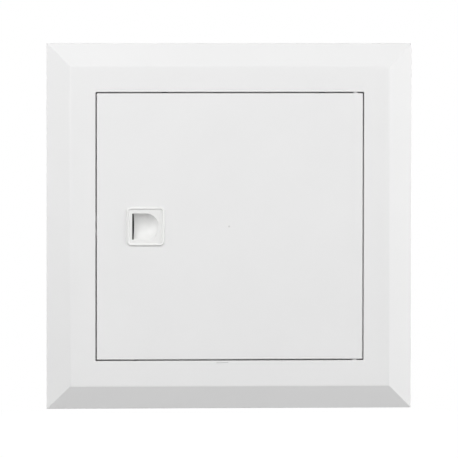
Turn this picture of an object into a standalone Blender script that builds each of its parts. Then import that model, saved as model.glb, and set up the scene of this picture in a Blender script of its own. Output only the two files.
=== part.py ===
"""Ceiling access panel, 250 mm square, for a 200 mm square hole.

It is modelled upright: the face looks along -Y, X runs to the hinge side and Z runs up.
The plane Y = 0 is the surface that the panel is fitted to, and the origin is the centre
of the opening in that plane. A depth is a distance behind the face of the door.
"""

import math

import bmesh
import bpy
from mathutils import Matrix, Vector

MM = 0.001

# Clearances
GAP = 0.3 * MM  # between pieces that touch or run on each other
BITE = 0.6 * MM  # how far a joined feature reaches into its wall
OVERRUN = 5.0 * MM  # how far a cutter runs past the faces that it cuts

# Door and the border round it
DOOR_SIZE = 182.0 * MM
DOOR_GAP = 0.9 * MM
FLAT_WIDTH = 17.1 * MM
BEVEL_WIDTH = 16.0 * MM
FACE_RISE = 8.0 * MM  # the door's face above the wall
EDGE_HEIGHT = 1.5 * MM
KNEE_RADIUS = 5.0 * MM
FRAME_WALL = 2.4 * MM
OPENING_CORNER = 1.5 * MM
EDGE_ROUND = 0.5 * MM

# Collar that fills the hole
LIP_WIDTH = 4.4 * MM
COLLAR_WALL = 2.2 * MM
COLLAR_DEPTH = 30.0 * MM
COLLAR_CORNER = 3.0 * MM
COLLAR_LEAD_IN = 1.0 * MM  # a chamfer that finds the hole
HOLE_CLEARANCE = 1.5 * MM

# Ribs under the border
BORDER_RIBS_EACH_WAY = 3
BORDER_RIB_INSET = 8.5 * MM  # the outermost ribs, from the collar's corner
BORDER_RIB = 1.6 * MM
BORDER_RIB_REACH = 11.2 * MM  # past the knee
RIB_SETBACK = 1.0 * MM  # from the wall

# Ledge round the opening, that the shut door rests on
LEDGE_THICKNESS = 2.0 * MM
LEDGE_OVERLAP = 2.4 * MM  # under the edge of the door
LEDGE_RISER = 2.0 * MM  # where the ledge steps back, near the hinge

# Door moulding
DOOR_WALL = 2.4 * MM
SKIRT_WALL = 2.0 * MM
SKIRT_DEPTH = 8.0 * MM
DOOR_CORNER = 1.2 * MM
POCKET_CORNER = 0.6 * MM
DOOR_EDGE_ROUND = 0.4 * MM
DOOR_RIB_INSET = 34.0 * MM  # the outer ribs, from the edge of the door
LEVEL_RIB_CLEARANCE = 5.25 * MM  # the inner level ribs, from the bolt
DOOR_RIB = 1.4 * MM
DOOR_RIB_HEIGHT = 3.0 * MM
DOOR_RIB_STEP = 0.2 * MM  # the level ribs are this much lower
GATE_RADIUS = 6.0 * MM
GATE_DEPTH = 0.15 * MM

# Hinge
PIN_RADIUS = 1.5 * MM
PIN_SKIN = 1.0 * MM  # plastic in front of the pin's hole
PIN_INSET = 5.0 * MM  # from the edge of the door
PIN_ENTRY = 3.4 * MM  # into the frame
PIN_CHAMFER = 0.4 * MM
TANG_WIDTH = 2.0 * MM
TANG_HALF_WIDTH = 1.25 * MM
TANG_HEIGHT = 5.7 * MM
KNUCKLE_LENGTH = 7.5 * MM
KNUCKLE_SETBACK = 1.0 * MM  # from the edge of the door
KNUCKLE_WIDTH = 9.0 * MM
KNUCKLE_WALL = 1.9 * MM
BOSS_WIDTH = 10.0 * MM

# Finger cup
CUP_INSET = 33.3 * MM  # its centre, from the edge of the door
CUP_WIDTH = 26.6 * MM
CUP_HEIGHT = 27.4 * MM
CUP_CORNER = 3.0 * MM
CUP_PLATE = 0.55 * MM
CUP_RIDE = 0.25 * MM  # under the plate, to the door
BEAD_WIDTH = 1.5 * MM
BEAD_HEIGHT = 0.4 * MM
BEAD_ROUND = 0.6 * MM  # its outer edge
BEAD_LEAN = 0.35 * MM  # of its inner wall, over its height
SCOOP_HALF_WIDTH = 9.15 * MM
SCOOP_DEPTH = 6.3 * MM
SCOOP_WALL = 1.2 * MM
SLOT_WIDTH = 1.0 * MM  # at its two ends
SLOT_SWELL = 0.6 * MM  # wider in the middle
STEM_WALL = 1.2 * MM
STEM_LAP = 0.25 * MM  # of its wall over the scoop's opening
STEM_SETBACK = 0.8 * MM  # from the scoop's cut end
STEM_REACH = 8.5 * MM  # from the cup's centre to the stems' right end
HOOK_REACH = 1.2 * MM
HOOK_SLOPE = 0.6 * MM  # of its end, over its thickness
HOOK_THICKNESS = 1.4 * MM
HOOK_HALF_LENGTH = 3.0 * MM
WINDOW_CORNER = 1.0 * MM

# Bolt
BOLT_TRAVEL = 2.4 * MM
BOLT_RIDE = 0.4 * MM
BOLT_THICKNESS = 2.4 * MM
BOLT_HALF_WIDTH = 8.5 * MM
BOLT_BAR = 3.6 * MM
BOLT_PUSH_BAR = 5.1 * MM  # between the stems and the spring
BOLT_SIDE_BAR = 3.35 * MM
BOLT_CORNER = 2.0 * MM
BOLT_HOLE_CORNER = 0.8 * MM
PAD_LENGTH = 3.0 * MM
PAD_MARGIN = 0.8 * MM
TONGUE_HALF_WIDTH = 2.15 * MM
TONGUE_OFFSET = 4.55 * MM
TONGUE_ENGAGEMENT = 2.0 * MM
TONGUE_TIP = 0.8 * MM
TONGUE_SLOPE = 2.6 * MM
SPIGOT_RADIUS = 1.0 * MM
SPIGOT_LENGTH = 2.0 * MM

# Spring
SPRING_RADIUS = 1.8 * MM
SPRING_WIRE = 0.45 * MM
SPRING_LENGTH = 9.0 * MM
SPRING_TURNS = 6
SPRING_POINTS = 12  # in a turn
POST_THICKNESS = 2.5 * MM
POST_HALF_WIDTH = 4.0 * MM

# Keeper plate and its screws
KEEPER_INSET = 8.0 * MM  # its screws, from the edge of the door
KEEPER_WIDTH = 6.0 * MM  # of the strip that holds the bolt
KEEPER_JOGGLE = 2.0 * MM  # from that strip to the cover behind the cup
KEEPER_REACH = 11.7 * MM  # of the cover, past the cup's centre
KEEPER_THICKNESS = 1.0 * MM
KEEPER_CORNER = 2.6 * MM
KEEPER_BOSS_RADIUS = 2.8 * MM
KEEPER_SCREW_RADIUS = 1.25 * MM
KEEPER_SCREW_LENGTH = 3.6 * MM
KEEPER_HEAD_RADIUS = 2.5 * MM
KEEPER_HEAD = 1.6 * MM

# Clamps
CLAMP_INSET = 27.0 * MM  # one of each pair, from the corner of the door
CLAMP_PARKED_INSET = 47.0 * MM  # the other one, whose arm is parked outwards
DRIVER_ROOM = 3.6 * MM  # from the opening's edge to the screw's axis
DRIVER_CLEARANCE = 0.6 * MM  # round the screw's head
LUG_HALF_WIDTH = 5.0 * MM
LUG_THICKNESS = 2.6 * MM
LUG_FRONT = 3.6 * MM  # behind the wall plane
SCREW_RADIUS = 2.0 * MM
SCREW_REACH = 29.5 * MM
SCREW_HEAD_RADIUS = 3.75 * MM
SCREW_HEAD = 2.7 * MM
INSERT_WALL = 0.95 * MM
INSERT_START = 21.5 * MM
INSERT_LENGTH = 5.8 * MM
INSERT_FLANGE_RADIUS = 4.5 * MM
INSERT_FLANGE = 0.8 * MM
ARM_GRIP = 9.3 * MM  # past the edge of the hole
ARM_HALF_WIDTH = 4.0 * MM
ARM_TIP_HALF_WIDTH = 3.0 * MM
ARM_NOSE = 2.0 * MM
ARM_NOSE_HALF_WIDTH = 1.4 * MM
ARM_WEB = 3.2 * MM
HUB_RADIUS = 5.0 * MM
HUB_SHOULDER = 0.8 * MM
FOOT_LENGTH = 6.0 * MM
FOOT_GROOVE = 0.5 * MM
FOOT_GROOVES = 3
NOTCH_CLEARANCE = 0.4 * MM
NOTCH_START = 7.1 * MM

# Pan heads, as shares of their own size
HEAD_CROWN = 0.6  # of the head's height
SHANK_CHAMFER = 0.3  # of the shank's radius
RECESS_SPAN = 0.5  # of the head's radius
RECESS_SLOT = 0.28  # of the recess's span
RECESS_DEPTH = 0.65  # of the head's height

# Smoothness
ARC_SEGMENTS = 6
CORNER_SEGMENTS = 4
ROUND_STEPS = 28
SMALL_ROUND_STEPS = 20
SCOOP_STEPS = 40
SWELL_STEPS = 8

# Places worked out from the sizes above
FACE_Y = -FACE_RISE
DOOR_HALF = DOOR_SIZE / 2
OPENING_HALF = DOOR_HALF + DOOR_GAP
KNEE_OFFSET = OPENING_HALF + FLAT_WIDTH
OUTER_HALF = KNEE_OFFSET + BEVEL_WIDTH
COLLAR_IN = OPENING_HALF + LIP_WIDTH
COLLAR_OUT = COLLAR_IN + COLLAR_WALL
HOLE_HALF = COLLAR_OUT + HOLE_CLEARANCE
BEVEL_ANGLE = math.atan2(FACE_RISE - EDGE_HEIGHT, BEVEL_WIDTH)
LEDGE_DEPTH = SKIRT_DEPTH + GAP
BORDER_RIB_PITCH = (COLLAR_OUT - BORDER_RIB_INSET) / BORDER_RIBS_EACH_WAY
PIN_BORE = PIN_RADIUS + GAP
PIN_DEPTH = PIN_SKIN + PIN_BORE
PIN_X = DOOR_HALF - PIN_INSET
HINGE_SWEEP = math.hypot(PIN_INSET, SKIRT_DEPTH - PIN_DEPTH)  # of the door's edge, round the pin
LEDGE_STEP_X = PIN_X - HINGE_SWEEP - GAP
HINGE_LEDGE_DEPTH = PIN_DEPTH + HINGE_SWEEP + GAP
CUP_X = -DOOR_HALF + CUP_INSET
CUP_FRONT = -CUP_RIDE - CUP_PLATE  # a depth
SCOOP_RADIUS = (SCOOP_HALF_WIDTH**2 + SCOOP_DEPTH**2) / (2 * SCOOP_DEPTH)
SCOOP_AXIS = CUP_FRONT + SCOOP_DEPTH - SCOOP_RADIUS  # a depth
SCOOP_OUTER = SCOOP_RADIUS + SCOOP_WALL
BOLT_FRONT = DOOR_WALL + BOLT_RIDE
BOLT_BACK = BOLT_FRONT + BOLT_THICKNESS
CLAMP_FAR = DOOR_HALF - CLAMP_INSET
CLAMP_NEAR = DOOR_HALF - CLAMP_PARKED_INSET
CLAMP_Z = OPENING_HALF - DRIVER_ROOM
ARM_LENGTH = HOLE_HALF + ARM_GRIP - CLAMP_Z
SCREW_BORE = SCREW_RADIUS + GAP
INSERT_RADIUS = SCREW_BORE + INSERT_WALL
INSERT_END = INSERT_START + INSERT_LENGTH
HUB_END = INSERT_END - GAP
KNUCKLE_INNER = DOOR_HALF - KNUCKLE_SETBACK - KNUCKLE_LENGTH
PIN_START = KNUCKLE_INNER - TANG_WIDTH - 2 * GAP
SCOOP_LEFT = CUP_X - SCOOP_HALF_WIDTH + SLOT_WIDTH
SHELL_RIGHT = CUP_X + math.sqrt(SCOOP_OUTER**2 - (CUP_RIDE + SCOOP_AXIS) ** 2)
STEM_LEFT = SCOOP_LEFT + STEM_SETBACK
STEM_RIGHT = CUP_X + STEM_REACH
STEM_OUT = SCOOP_HALF_WIDTH + STEM_WALL - STEM_LAP
BOLT_HOLE_LEFT = SCOOP_LEFT - SLOT_WIDTH - GAP
BOLT_HOLE_RIGHT = STEM_RIGHT + GAP
BOLT_LEFT = BOLT_HOLE_LEFT - BOLT_BAR
BOLT_RIGHT = BOLT_HOLE_RIGHT + BOLT_PUSH_BAR
RING_HALF = STEM_OUT + GAP + BOLT_SIDE_BAR
SPRING_START = BOLT_RIGHT + GAP
SPRING_END = SPRING_START + SPRING_LENGTH
SPRING_DEPTH = DOOR_WALL + GAP + SPRING_RADIUS
KEEPER_X = -DOOR_HALF + KEEPER_INSET
KEEPER_SCREW_Z = BOLT_HALF_WIDTH + BOLT_RIDE + KEEPER_BOSS_RADIUS
KEEPER_FRONT = BOLT_BACK + GAP  # a depth
KEEPER_BACK = KEEPER_FRONT + KEEPER_THICKNESS  # a depth
COVER_FRONT = KEEPER_FRONT + HOOK_THICKNESS + GAP  # a depth


def clear_scene():
    for obj in list(bpy.data.objects):
        bpy.data.objects.remove(obj, do_unlink=True)


def new_collection(name):
    collection = bpy.data.collections.new(name)
    bpy.context.scene.collection.children.link(collection)
    return collection


def new_material(name, colour, roughness, metallic=0.0):
    material = bpy.data.materials.new(name)
    material.use_nodes = True
    shader = material.node_tree.nodes["Principled BSDF"]
    shader.inputs["Base Color"].default_value = (*colour, 1.0)
    shader.inputs["Roughness"].default_value = roughness
    shader.inputs["Metallic"].default_value = metallic
    return material


clear_scene()
PARTS = new_collection("access_panel")
CUTTERS = new_collection("cutters")
WHITE_ABS = ((0.79, 0.79, 0.79), 0.42)
WHITE_ACETAL = ((0.82, 0.82, 0.81), 0.34)
NATURAL_NYLON = ((0.74, 0.71, 0.62), 0.48)
ZINC_STEEL = ((0.62, 0.63, 0.64), 0.3, 1.0)
BLACK_STEEL = ((0.03, 0.03, 0.031), 0.55)
SPRING_STEEL = ((0.5, 0.5, 0.51), 0.28, 1.0)
BRASS = ((0.72, 0.55, 0.27), 0.32, 1.0)


def spot(x, depth, z):
    """A point given by its depth behind the face of the door."""
    return Vector((x, FACE_Y + depth, z))


def depths(front, back):
    """A span along Y, given by two depths behind the face of the door."""
    return (FACE_Y + front, FACE_Y + back)


def around(centre, half):
    return (centre - half, centre + half)


def mirrored(span, side):
    """A span on the positive side, or its mirror image when side is -1."""
    return tuple(sorted((span[0] * side, span[1] * side)))


def object_from(bm, name, collection, finish=None):
    bmesh.ops.recalc_face_normals(bm, faces=bm.faces)
    mesh = bpy.data.meshes.new(name)
    bm.to_mesh(mesh)
    bm.free()
    obj = bpy.data.objects.new(name, mesh)
    collection.objects.link(obj)
    if finish:
        mesh.materials.append(new_material(name, *finish))
    return obj


def tool(bm, name):
    """A shape that only cuts or joins another one."""
    obj = object_from(bm, name, CUTTERS)
    obj.hide_render = True
    obj.display_type = "WIRE"
    return obj


def combine(obj, other, operation):
    modifier = obj.modifiers.new(other.name, "BOOLEAN")
    modifier.operation = operation
    modifier.solver = "EXACT"
    modifier.object = other


def cut(obj, other):
    combine(obj, other, "DIFFERENCE")


def join(obj, other):
    combine(obj, other, "UNION")


def keep_inside(obj, other):
    combine(obj, other, "INTERSECT")


def smooth(mesh, degrees=35.0):
    mesh.shade_smooth()
    mesh.set_sharp_from_angle(angle=math.radians(degrees))


def settled_mesh(obj, tools):
    """The object's mesh with its modifiers applied; the object and its tools are removed."""
    depsgraph = bpy.context.evaluated_depsgraph_get()
    mesh = bpy.data.meshes.new_from_object(obj.evaluated_get(depsgraph))
    for used in (obj, *tools):
        bpy.data.objects.remove(used, do_unlink=True)
    return mesh


def add_box(bm, x, y, z):
    """A box between two values on each axis. Returns its vertices."""
    verts = bmesh.ops.create_cube(bm, size=1.0)["verts"]
    bmesh.ops.scale(bm, vec=(x[1] - x[0], y[1] - y[0], z[1] - z[0]), verts=verts)
    bmesh.ops.translate(bm, vec=((x[0] + x[1]) / 2, (y[0] + y[1]) / 2, (z[0] + z[1]) / 2), verts=verts)
    return verts


def round_along(bm, verts, axis, radius):
    """Rounds the edges of a box that run along one axis."""
    edges = {
        edge
        for vert in verts
        for edge in vert.link_edges
        if abs((edge.verts[1].co - edge.verts[0].co).normalized()[axis]) > 0.999
    }
    bmesh.ops.bevel(
        bm,
        geom=list(edges),
        offset=radius,
        segments=CORNER_SEGMENTS,
        profile=0.5,
        affect="EDGES",
        material=-1,
    )


def add_plate(bm, x, y, z, corner):
    """A box whose corners, seen along Y, are rounded."""
    verts = add_box(bm, x, y, z)
    round_along(bm, verts, 1, corner)


def round_face_edges(bm, y, radius, segments=2):
    """Rounds the edges of the face that lies at one place along Y."""
    edges = [edge for edge in bm.edges if all(abs(v.co.y - y) < 1e-6 for v in edge.verts)]
    bmesh.ops.bevel(
        bm, geom=edges, offset=radius, segments=segments, profile=0.5, affect="EDGES", material=-1
    )


def add_rod(bm, start, direction, length, radius, steps=ROUND_STEPS):
    """A cylinder from its first end, along a direction."""
    direction = Vector(direction).normalized()
    turn = direction.to_track_quat("Z", "Y").to_matrix().to_4x4()
    place = Matrix.Translation(Vector(start) + direction * length / 2) @ turn
    bmesh.ops.create_cone(
        bm,
        cap_ends=True,
        cap_tris=False,
        segments=steps,
        radius1=radius,
        radius2=radius,
        depth=length,
        matrix=place,
    )


def add_prism(bm, points, offset):
    """A flat outline, moved along an offset to make a solid."""
    face = bm.faces.new([bm.verts.new(point) for point in points])
    moved = bmesh.ops.extrude_face_region(bm, geom=[face])["geom"]
    bmesh.ops.translate(bm, vec=offset, verts=[v for v in moved if isinstance(v, bmesh.types.BMVert)])


def add_turned(bm, profile, centre, axis, steps=ROUND_STEPS):
    """Spins a profile of (along, radius) pairs, which starts and ends on the axis or is a closed ring."""
    axis = Vector(axis).normalized()
    side = axis.orthogonal().normalized()
    closed = profile[0][1] > 0
    verts = [bm.verts.new(Vector(centre) + axis * along + side * radius) for along, radius in profile]
    edges = [bm.edges.new(pair) for pair in zip(verts, verts[1:])]
    if closed:
        edges.append(bm.edges.new((verts[-1], verts[0])))
    bmesh.ops.spin(
        bm,
        geom=verts + edges,
        cent=centre,
        axis=axis,
        angle=math.tau,
        steps=steps,
        use_merge=True,
        use_duplicate=False,
    )
    bmesh.ops.remove_doubles(bm, verts=bm.verts, dist=1e-7)


def arc(centre, radius, start, end, segments=ARC_SEGMENTS):
    """Points on an arc, from one angle in radians to another."""
    angles = [start + (end - start) * step / segments for step in range(segments + 1)]
    return [(centre[0] + radius * math.cos(angle), centre[1] + radius * math.sin(angle)) for angle in angles]


def hinge_point(name, location, parent=None):
    """An empty that stands on the axis of a joint."""
    empty = bpy.data.objects.new(name, None)
    PARTS.objects.link(empty)
    empty.empty_display_size = 10 * MM
    empty.location = Vector(location) - (parent.location if parent else Vector())
    empty.parent = parent
    return empty


def hang(obj, empty, place):
    """Puts an object modelled in the panel's frame under the empty that stands at a place."""
    obj.parent = empty
    obj.location -= Vector(place)


# Frame: a hollow border with mitred corners, and a collar behind it


def border_section():
    """The border's section as (distance from the centre, depth), round the closed outline."""
    centre_x = KNEE_OFFSET - KNEE_RADIUS * math.tan(BEVEL_ANGLE / 2)
    under_radius = KNEE_RADIUS - FRAME_WALL
    top = -math.pi / 2
    slope_end = top + BEVEL_ANGLE
    knee = arc((centre_x, KNEE_RADIUS), KNEE_RADIUS, top, slope_end)
    under_knee = arc((centre_x, KNEE_RADIUS), under_radius, slope_end, top)
    edge_x = OUTER_HALF - EDGE_ROUND
    edge_depth = (edge_x - KNEE_OFFSET) * math.tan(BEVEL_ANGLE) + EDGE_ROUND / math.cos(BEVEL_ANGLE)
    edge = arc((edge_x, edge_depth), EDGE_ROUND, slope_end, 0.0, CORNER_SEGMENTS)
    seat = under_knee[0][0] + (FACE_RISE - under_knee[0][1]) / math.tan(BEVEL_ANGLE)
    inside = OPENING_HALF - LIP_WIDTH / 2
    return [
        (inside, 0.0),
        *knee,
        *edge,
        (OUTER_HALF, FACE_RISE),
        (seat, FACE_RISE),
        *under_knee,
        (inside, FRAME_WALL),
    ]


def underside_depth(distance):
    """The depth of the sloping border's inner surface."""
    return FRAME_WALL / math.cos(BEVEL_ANGLE) + (distance - KNEE_OFFSET) * math.tan(BEVEL_ANGLE)


def mitred_border():
    """The section stands at a corner, and four steps of a screw make the square ring."""
    bm = bmesh.new()
    verts = [bm.verts.new(spot(out, depth, out)) for out, depth in border_section()]
    for first, second in zip(verts, verts[1:] + verts[:1]):
        bm.edges.new((first, second))
    mesh = bpy.data.meshes.new("frame")
    bm.to_mesh(mesh)
    bm.free()
    mesh.materials.append(new_material("frame", *WHITE_ABS))
    obj = bpy.data.objects.new("frame", mesh)
    PARTS.objects.link(obj)
    screw = obj.modifiers.new("mitred ring", "SCREW")
    screw.axis = "Y"
    screw.angle = math.tau
    screw.steps = 4
    screw.render_steps = 4
    screw.use_merge_vertices = True
    screw.merge_threshold = 1e-5
    screw.use_normal_calculate = True
    screw.use_smooth_shade = False
    return obj


def collar_block():
    bm = bmesh.new()
    wide = around(0, COLLAR_OUT)
    add_plate(bm, wide, (FACE_Y + FRAME_WALL / 2, COLLAR_DEPTH), wide, COLLAR_CORNER)
    round_face_edges(bm, COLLAR_DEPTH, COLLAR_LEAD_IN, 1)
    return tool(bm, "collar block")


def collar_bore():
    bm = bmesh.new()
    wide = around(0, COLLAR_IN)
    corner = COLLAR_CORNER - COLLAR_WALL + BITE
    add_plate(bm, wide, (FACE_Y + FRAME_WALL, COLLAR_DEPTH + OVERRUN), wide, corner)
    return tool(bm, "collar bore")


def opening_plug():
    bm = bmesh.new()
    wide = around(0, OPENING_HALF)
    add_plate(bm, wide, depths(-OVERRUN, FRAME_WALL + OVERRUN), wide, OPENING_CORNER)
    return tool(bm, "opening plug")


def border_ribs():
    """Ribs from the collar to the sloping border, along each side and across each corner."""
    bm = bmesh.new()
    back = FACE_RISE - RIB_SETBACK
    root = COLLAR_OUT - COLLAR_WALL / 2
    tip = KNEE_OFFSET + BORDER_RIB_REACH
    tip_depth = underside_depth(tip) - FRAME_WALL / 2
    outline = [
        (root, FRAME_WALL / 2),
        (KNEE_OFFSET - KNEE_RADIUS / 4, FRAME_WALL / 2),
        (tip, tip_depth),
        (tip, back),
        (root, back),
    ]
    for quarter in range(4):
        turn = Matrix.Rotation(quarter * math.pi / 2, 4, "Y")
        for step in range(-BORDER_RIBS_EACH_WAY, BORDER_RIBS_EACH_WAY + 1):
            middle = step * BORDER_RIB_PITCH
            points = [turn @ spot(out, depth, middle - BORDER_RIB / 2) for out, depth in outline]
            add_prism(bm, points, turn @ Vector((0, 0, BORDER_RIB)))
        corner_turn = Matrix.Rotation((quarter + 0.5) * math.pi / 2, 4, "Y")
        points = [corner_turn @ spot(out * math.sqrt(2), depth, -BORDER_RIB / 2) for out, depth in outline]
        add_prism(bm, points, corner_turn @ Vector((0, 0, BORDER_RIB)))
    return tool(bm, "border ribs")


def door_ledge():
    """A flat ring, which steps back near the hinge, where the edge of the open door swings inwards."""
    bm = bmesh.new()
    wide = around(0, COLLAR_IN + BITE)
    riser = (LEDGE_STEP_X - LEDGE_RISER, LEDGE_STEP_X)
    back = HINGE_LEDGE_DEPTH + LEDGE_THICKNESS
    outline = [
        (wide[0], LEDGE_DEPTH),
        (riser[1], LEDGE_DEPTH),
        (riser[1], HINGE_LEDGE_DEPTH),
        (wide[1], HINGE_LEDGE_DEPTH),
        (wide[1], back),
        (riser[0], back),
        (riser[0], LEDGE_DEPTH + LEDGE_THICKNESS),
        (wide[0], LEDGE_DEPTH + LEDGE_THICKNESS),
    ]
    add_prism(bm, [spot(x, depth, wide[0]) for x, depth in outline], Vector((0, 0, wide[1] - wide[0])))
    ledge = tool(bm, "door ledge")
    hole = bmesh.new()
    inside = around(0, DOOR_HALF - LEDGE_OVERLAP)
    add_plate(hole, inside, depths(0, back + OVERRUN), inside, OPENING_CORNER)
    cut(ledge, tool(hole, "ledge hole"))
    return ledge


def driver_holes():
    """Half-round bites out of the ledge, in front of each clamp screw."""
    bm = bmesh.new()
    front = FACE_Y + LEDGE_DEPTH - OVERRUN
    for station in CLAMP_STATIONS:
        start = clamp_place(station) @ Vector((0, front, 0))
        add_rod(bm, start, (0, 1, 0), LUG_FRONT - GAP - front, SCREW_HEAD_RADIUS + DRIVER_CLEARANCE)
    return tool(bm, "driver holes")


def hinge_bosses():
    bm = bmesh.new()
    depth = depths(FRAME_WALL - BITE, PIN_DEPTH + PIN_BORE + 2 * KNUCKLE_WALL - GAP)
    for side in (-1, 1):
        add_box(bm, around(PIN_X, BOSS_WIDTH / 2), depth, mirrored((OPENING_HALF, COLLAR_IN + BITE), side))
    return tool(bm, "hinge bosses")


def hinge_sockets():
    bm = bmesh.new()
    for side in (-1, 1):
        start = spot(PIN_X, PIN_DEPTH, side * (OPENING_HALF - OVERRUN))
        add_rod(bm, start, (0, 0, side), OVERRUN + PIN_ENTRY + 2 * GAP, PIN_BORE)
    return tool(bm, "hinge sockets")


CLAMP_STATIONS = [(CLAMP_FAR, 1), (-CLAMP_NEAR, 1), (-CLAMP_FAR, -1), (CLAMP_NEAR, -1)]


def clamp_place(station):
    """A clamp's own frame stands on its screw, with Z to the nearest wall and -X along the parked arm."""
    x, side = station
    turn = Matrix.Rotation(0.0 if side > 0 else math.pi, 4, "Y")
    return Matrix.Translation((x, 0, side * CLAMP_Z)) @ turn


def add_at(bm, matrix, add, *sizes):
    """Adds a shape made by one of the functions above, then moves it to a station."""
    before = set(bm.verts)
    add(bm, *sizes)
    bmesh.ops.transform(bm, matrix=matrix, verts=[v for v in bm.verts if v not in before])


def clamp_lugs():
    bm = bmesh.new()
    to_wall = COLLAR_IN + BITE - CLAMP_Z
    for station in CLAMP_STATIONS:
        lug = (around(0, LUG_HALF_WIDTH), (LUG_FRONT, LUG_FRONT + LUG_THICKNESS), (-LUG_HALF_WIDTH, to_wall))
        add_at(bm, clamp_place(station), add_box, *lug)
    return tool(bm, "clamp lugs")


def clamp_lug_holes():
    bm = bmesh.new()
    for station in CLAMP_STATIONS:
        start = clamp_place(station) @ Vector((0, LUG_FRONT - OVERRUN, 0))
        add_rod(bm, start, (0, 1, 0), LUG_THICKNESS + 2 * OVERRUN, SCREW_BORE)
    return tool(bm, "clamp lug holes")


def clamp_notches():
    """Where the arms swing out through the collar, open to its rear edge."""
    bm = bmesh.new()
    wall_in = COLLAR_IN - CLAMP_Z
    wall_out = COLLAR_OUT - CLAMP_Z
    tip_radius = math.hypot(ARM_LENGTH, ARM_HALF_WIDTH)
    parked_side = math.sqrt(tip_radius**2 - wall_in**2) + NOTCH_CLEARANCE
    span = (-parked_side, ARM_HALF_WIDTH + NOTCH_CLEARANCE)
    for station in CLAMP_STATIONS:
        notch = (span, (NOTCH_START, COLLAR_DEPTH + OVERRUN), (wall_in - OVERRUN, wall_out + OVERRUN))
        add_at(bm, clamp_place(station), add_box, *notch)
    return tool(bm, "clamp notches")


def build_frame():
    frame = mitred_border()
    join(frame, collar_block())
    cut(frame, collar_bore())
    join(frame, border_ribs())
    join(frame, hinge_bosses())
    cut(frame, opening_plug())
    join(frame, door_ledge())
    cut(frame, driver_holes())
    cut(frame, hinge_sockets())
    join(frame, clamp_lugs())
    cut(frame, clamp_lug_holes())
    cut(frame, clamp_notches())
    return frame


# Door: a shallow tray, ribbed behind


def door_shell():
    bm = bmesh.new()
    wide = around(0, DOOR_HALF)
    add_plate(bm, wide, depths(0, SKIRT_DEPTH), wide, DOOR_CORNER)
    round_face_edges(bm, FACE_Y, DOOR_EDGE_ROUND)
    return object_from(bm, "door_leaf", PARTS, WHITE_ABS)


def door_pocket():
    bm = bmesh.new()
    wide = around(0, DOOR_HALF - SKIRT_WALL)
    add_plate(bm, wide, depths(DOOR_WALL, SKIRT_DEPTH + OVERRUN), wide, POCKET_CORNER)
    return tool(bm, "door pocket")


def door_ribs():
    """Two tools, one for each direction, because crossing ribs overlap."""
    inside = DOOR_HALF - SKIRT_WALL
    depth = depths(DOOR_WALL - BITE, DOOR_WALL + DOOR_RIB_HEIGHT)
    full = around(0, inside + BITE)
    outer = DOOR_HALF - DOOR_RIB_INSET
    inner_level = RING_HALF + LEVEL_RIB_CLEARANCE
    upright = bmesh.new()
    for x in (-outer / 3, outer / 3, outer):
        add_box(upright, around(x, DOOR_RIB / 2), depth, full)
    for side in (-1, 1):
        broken = mirrored((inner_level - DOOR_RIB / 4, inside + BITE), side)
        add_box(upright, around(-outer, DOOR_RIB / 2), depth, broken)
    level = bmesh.new()
    lower = depths(DOOR_WALL - BITE, DOOR_WALL + DOOR_RIB_HEIGHT - DOOR_RIB_STEP)
    for z in (-outer, -inner_level, inner_level, outer):
        add_box(level, full, lower, around(z, DOOR_RIB / 2))
    return tool(upright, "upright ribs"), tool(level, "level ribs")


def knuckle_blocks():
    bm = bmesh.new()
    depth = depths(DOOR_WALL - BITE, PIN_DEPTH + PIN_BORE + KNUCKLE_WALL)
    for side in (-1, 1):
        span = mirrored((KNUCKLE_INNER, DOOR_HALF - SKIRT_WALL / 2), side)
        add_box(bm, around(PIN_X, KNUCKLE_WIDTH / 2), depth, span)
    return tool(bm, "knuckle blocks")


def knuckle_bores():
    bm = bmesh.new()
    first = PIN_START - GAP
    for side in (-1, 1):
        start = spot(PIN_X, PIN_DEPTH, side * first)
        add_rod(bm, start, (0, 0, side), DOOR_HALF + OVERRUN - first, PIN_BORE)
    return tool(bm, "knuckle bores")


def keeper_rods(name, front, back, radius):
    """A rod on each of the two screws of the keeper, between two depths."""
    bm = bmesh.new()
    for side in (-1, 1):
        start = spot(KEEPER_X, front, side * KEEPER_SCREW_Z)
        add_rod(bm, start, (0, 1, 0), back - front, radius, SMALL_ROUND_STEPS)
    return tool(bm, name)


def latch_window():
    bm = bmesh.new()
    left = CUP_X - CUP_WIDTH / 2 + BOLT_TRAVEL + GAP
    right = SHELL_RIGHT + BOLT_TRAVEL + GAP
    window = around(0, STEM_OUT + GAP)
    add_plate(bm, (left, right), depths(-OVERRUN, DOOR_WALL + OVERRUN), window, WINDOW_CORNER)
    return tool(bm, "latch window")


def tongue_notches():
    bm = bmesh.new()
    half = TONGUE_HALF_WIDTH + GAP
    across = (-DOOR_HALF - OVERRUN, -DOOR_HALF + SKIRT_WALL + BITE)
    for side in (-1, 1):
        add_box(bm, across, depths(DOOR_WALL, SKIRT_DEPTH + OVERRUN), around(side * TONGUE_OFFSET, half))
    return tool(bm, "tongue notches")


def spring_post():
    bm = bmesh.new()
    left = SPRING_END + GAP
    depth = depths(DOOR_WALL - BITE, SPRING_DEPTH + SPRING_RADIUS + BITE)
    add_box(bm, (left, left + POST_THICKNESS), depth, around(0, POST_HALF_WIDTH))
    return tool(bm, "spring post")


def post_spigot():
    bm = bmesh.new()
    root = spot(SPRING_END + GAP + BITE, SPRING_DEPTH, 0)
    add_rod(bm, root, (-1, 0, 0), BITE + SPIGOT_LENGTH, SPIGOT_RADIUS, SMALL_ROUND_STEPS)
    return tool(bm, "post spigot")


def gate_mark():
    """The shallow dimple left where the plastic was fed in."""
    bm = bmesh.new()
    bmesh.ops.create_uvsphere(bm, u_segments=24, v_segments=48, radius=GATE_RADIUS)
    centre = spot(0, GATE_DEPTH - GATE_RADIUS, 0)
    place = Matrix.Translation(centre) @ Matrix.Rotation(math.pi / 2, 4, "X")
    bmesh.ops.transform(bm, matrix=place, verts=bm.verts)
    return tool(bm, "gate mark")


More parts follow.
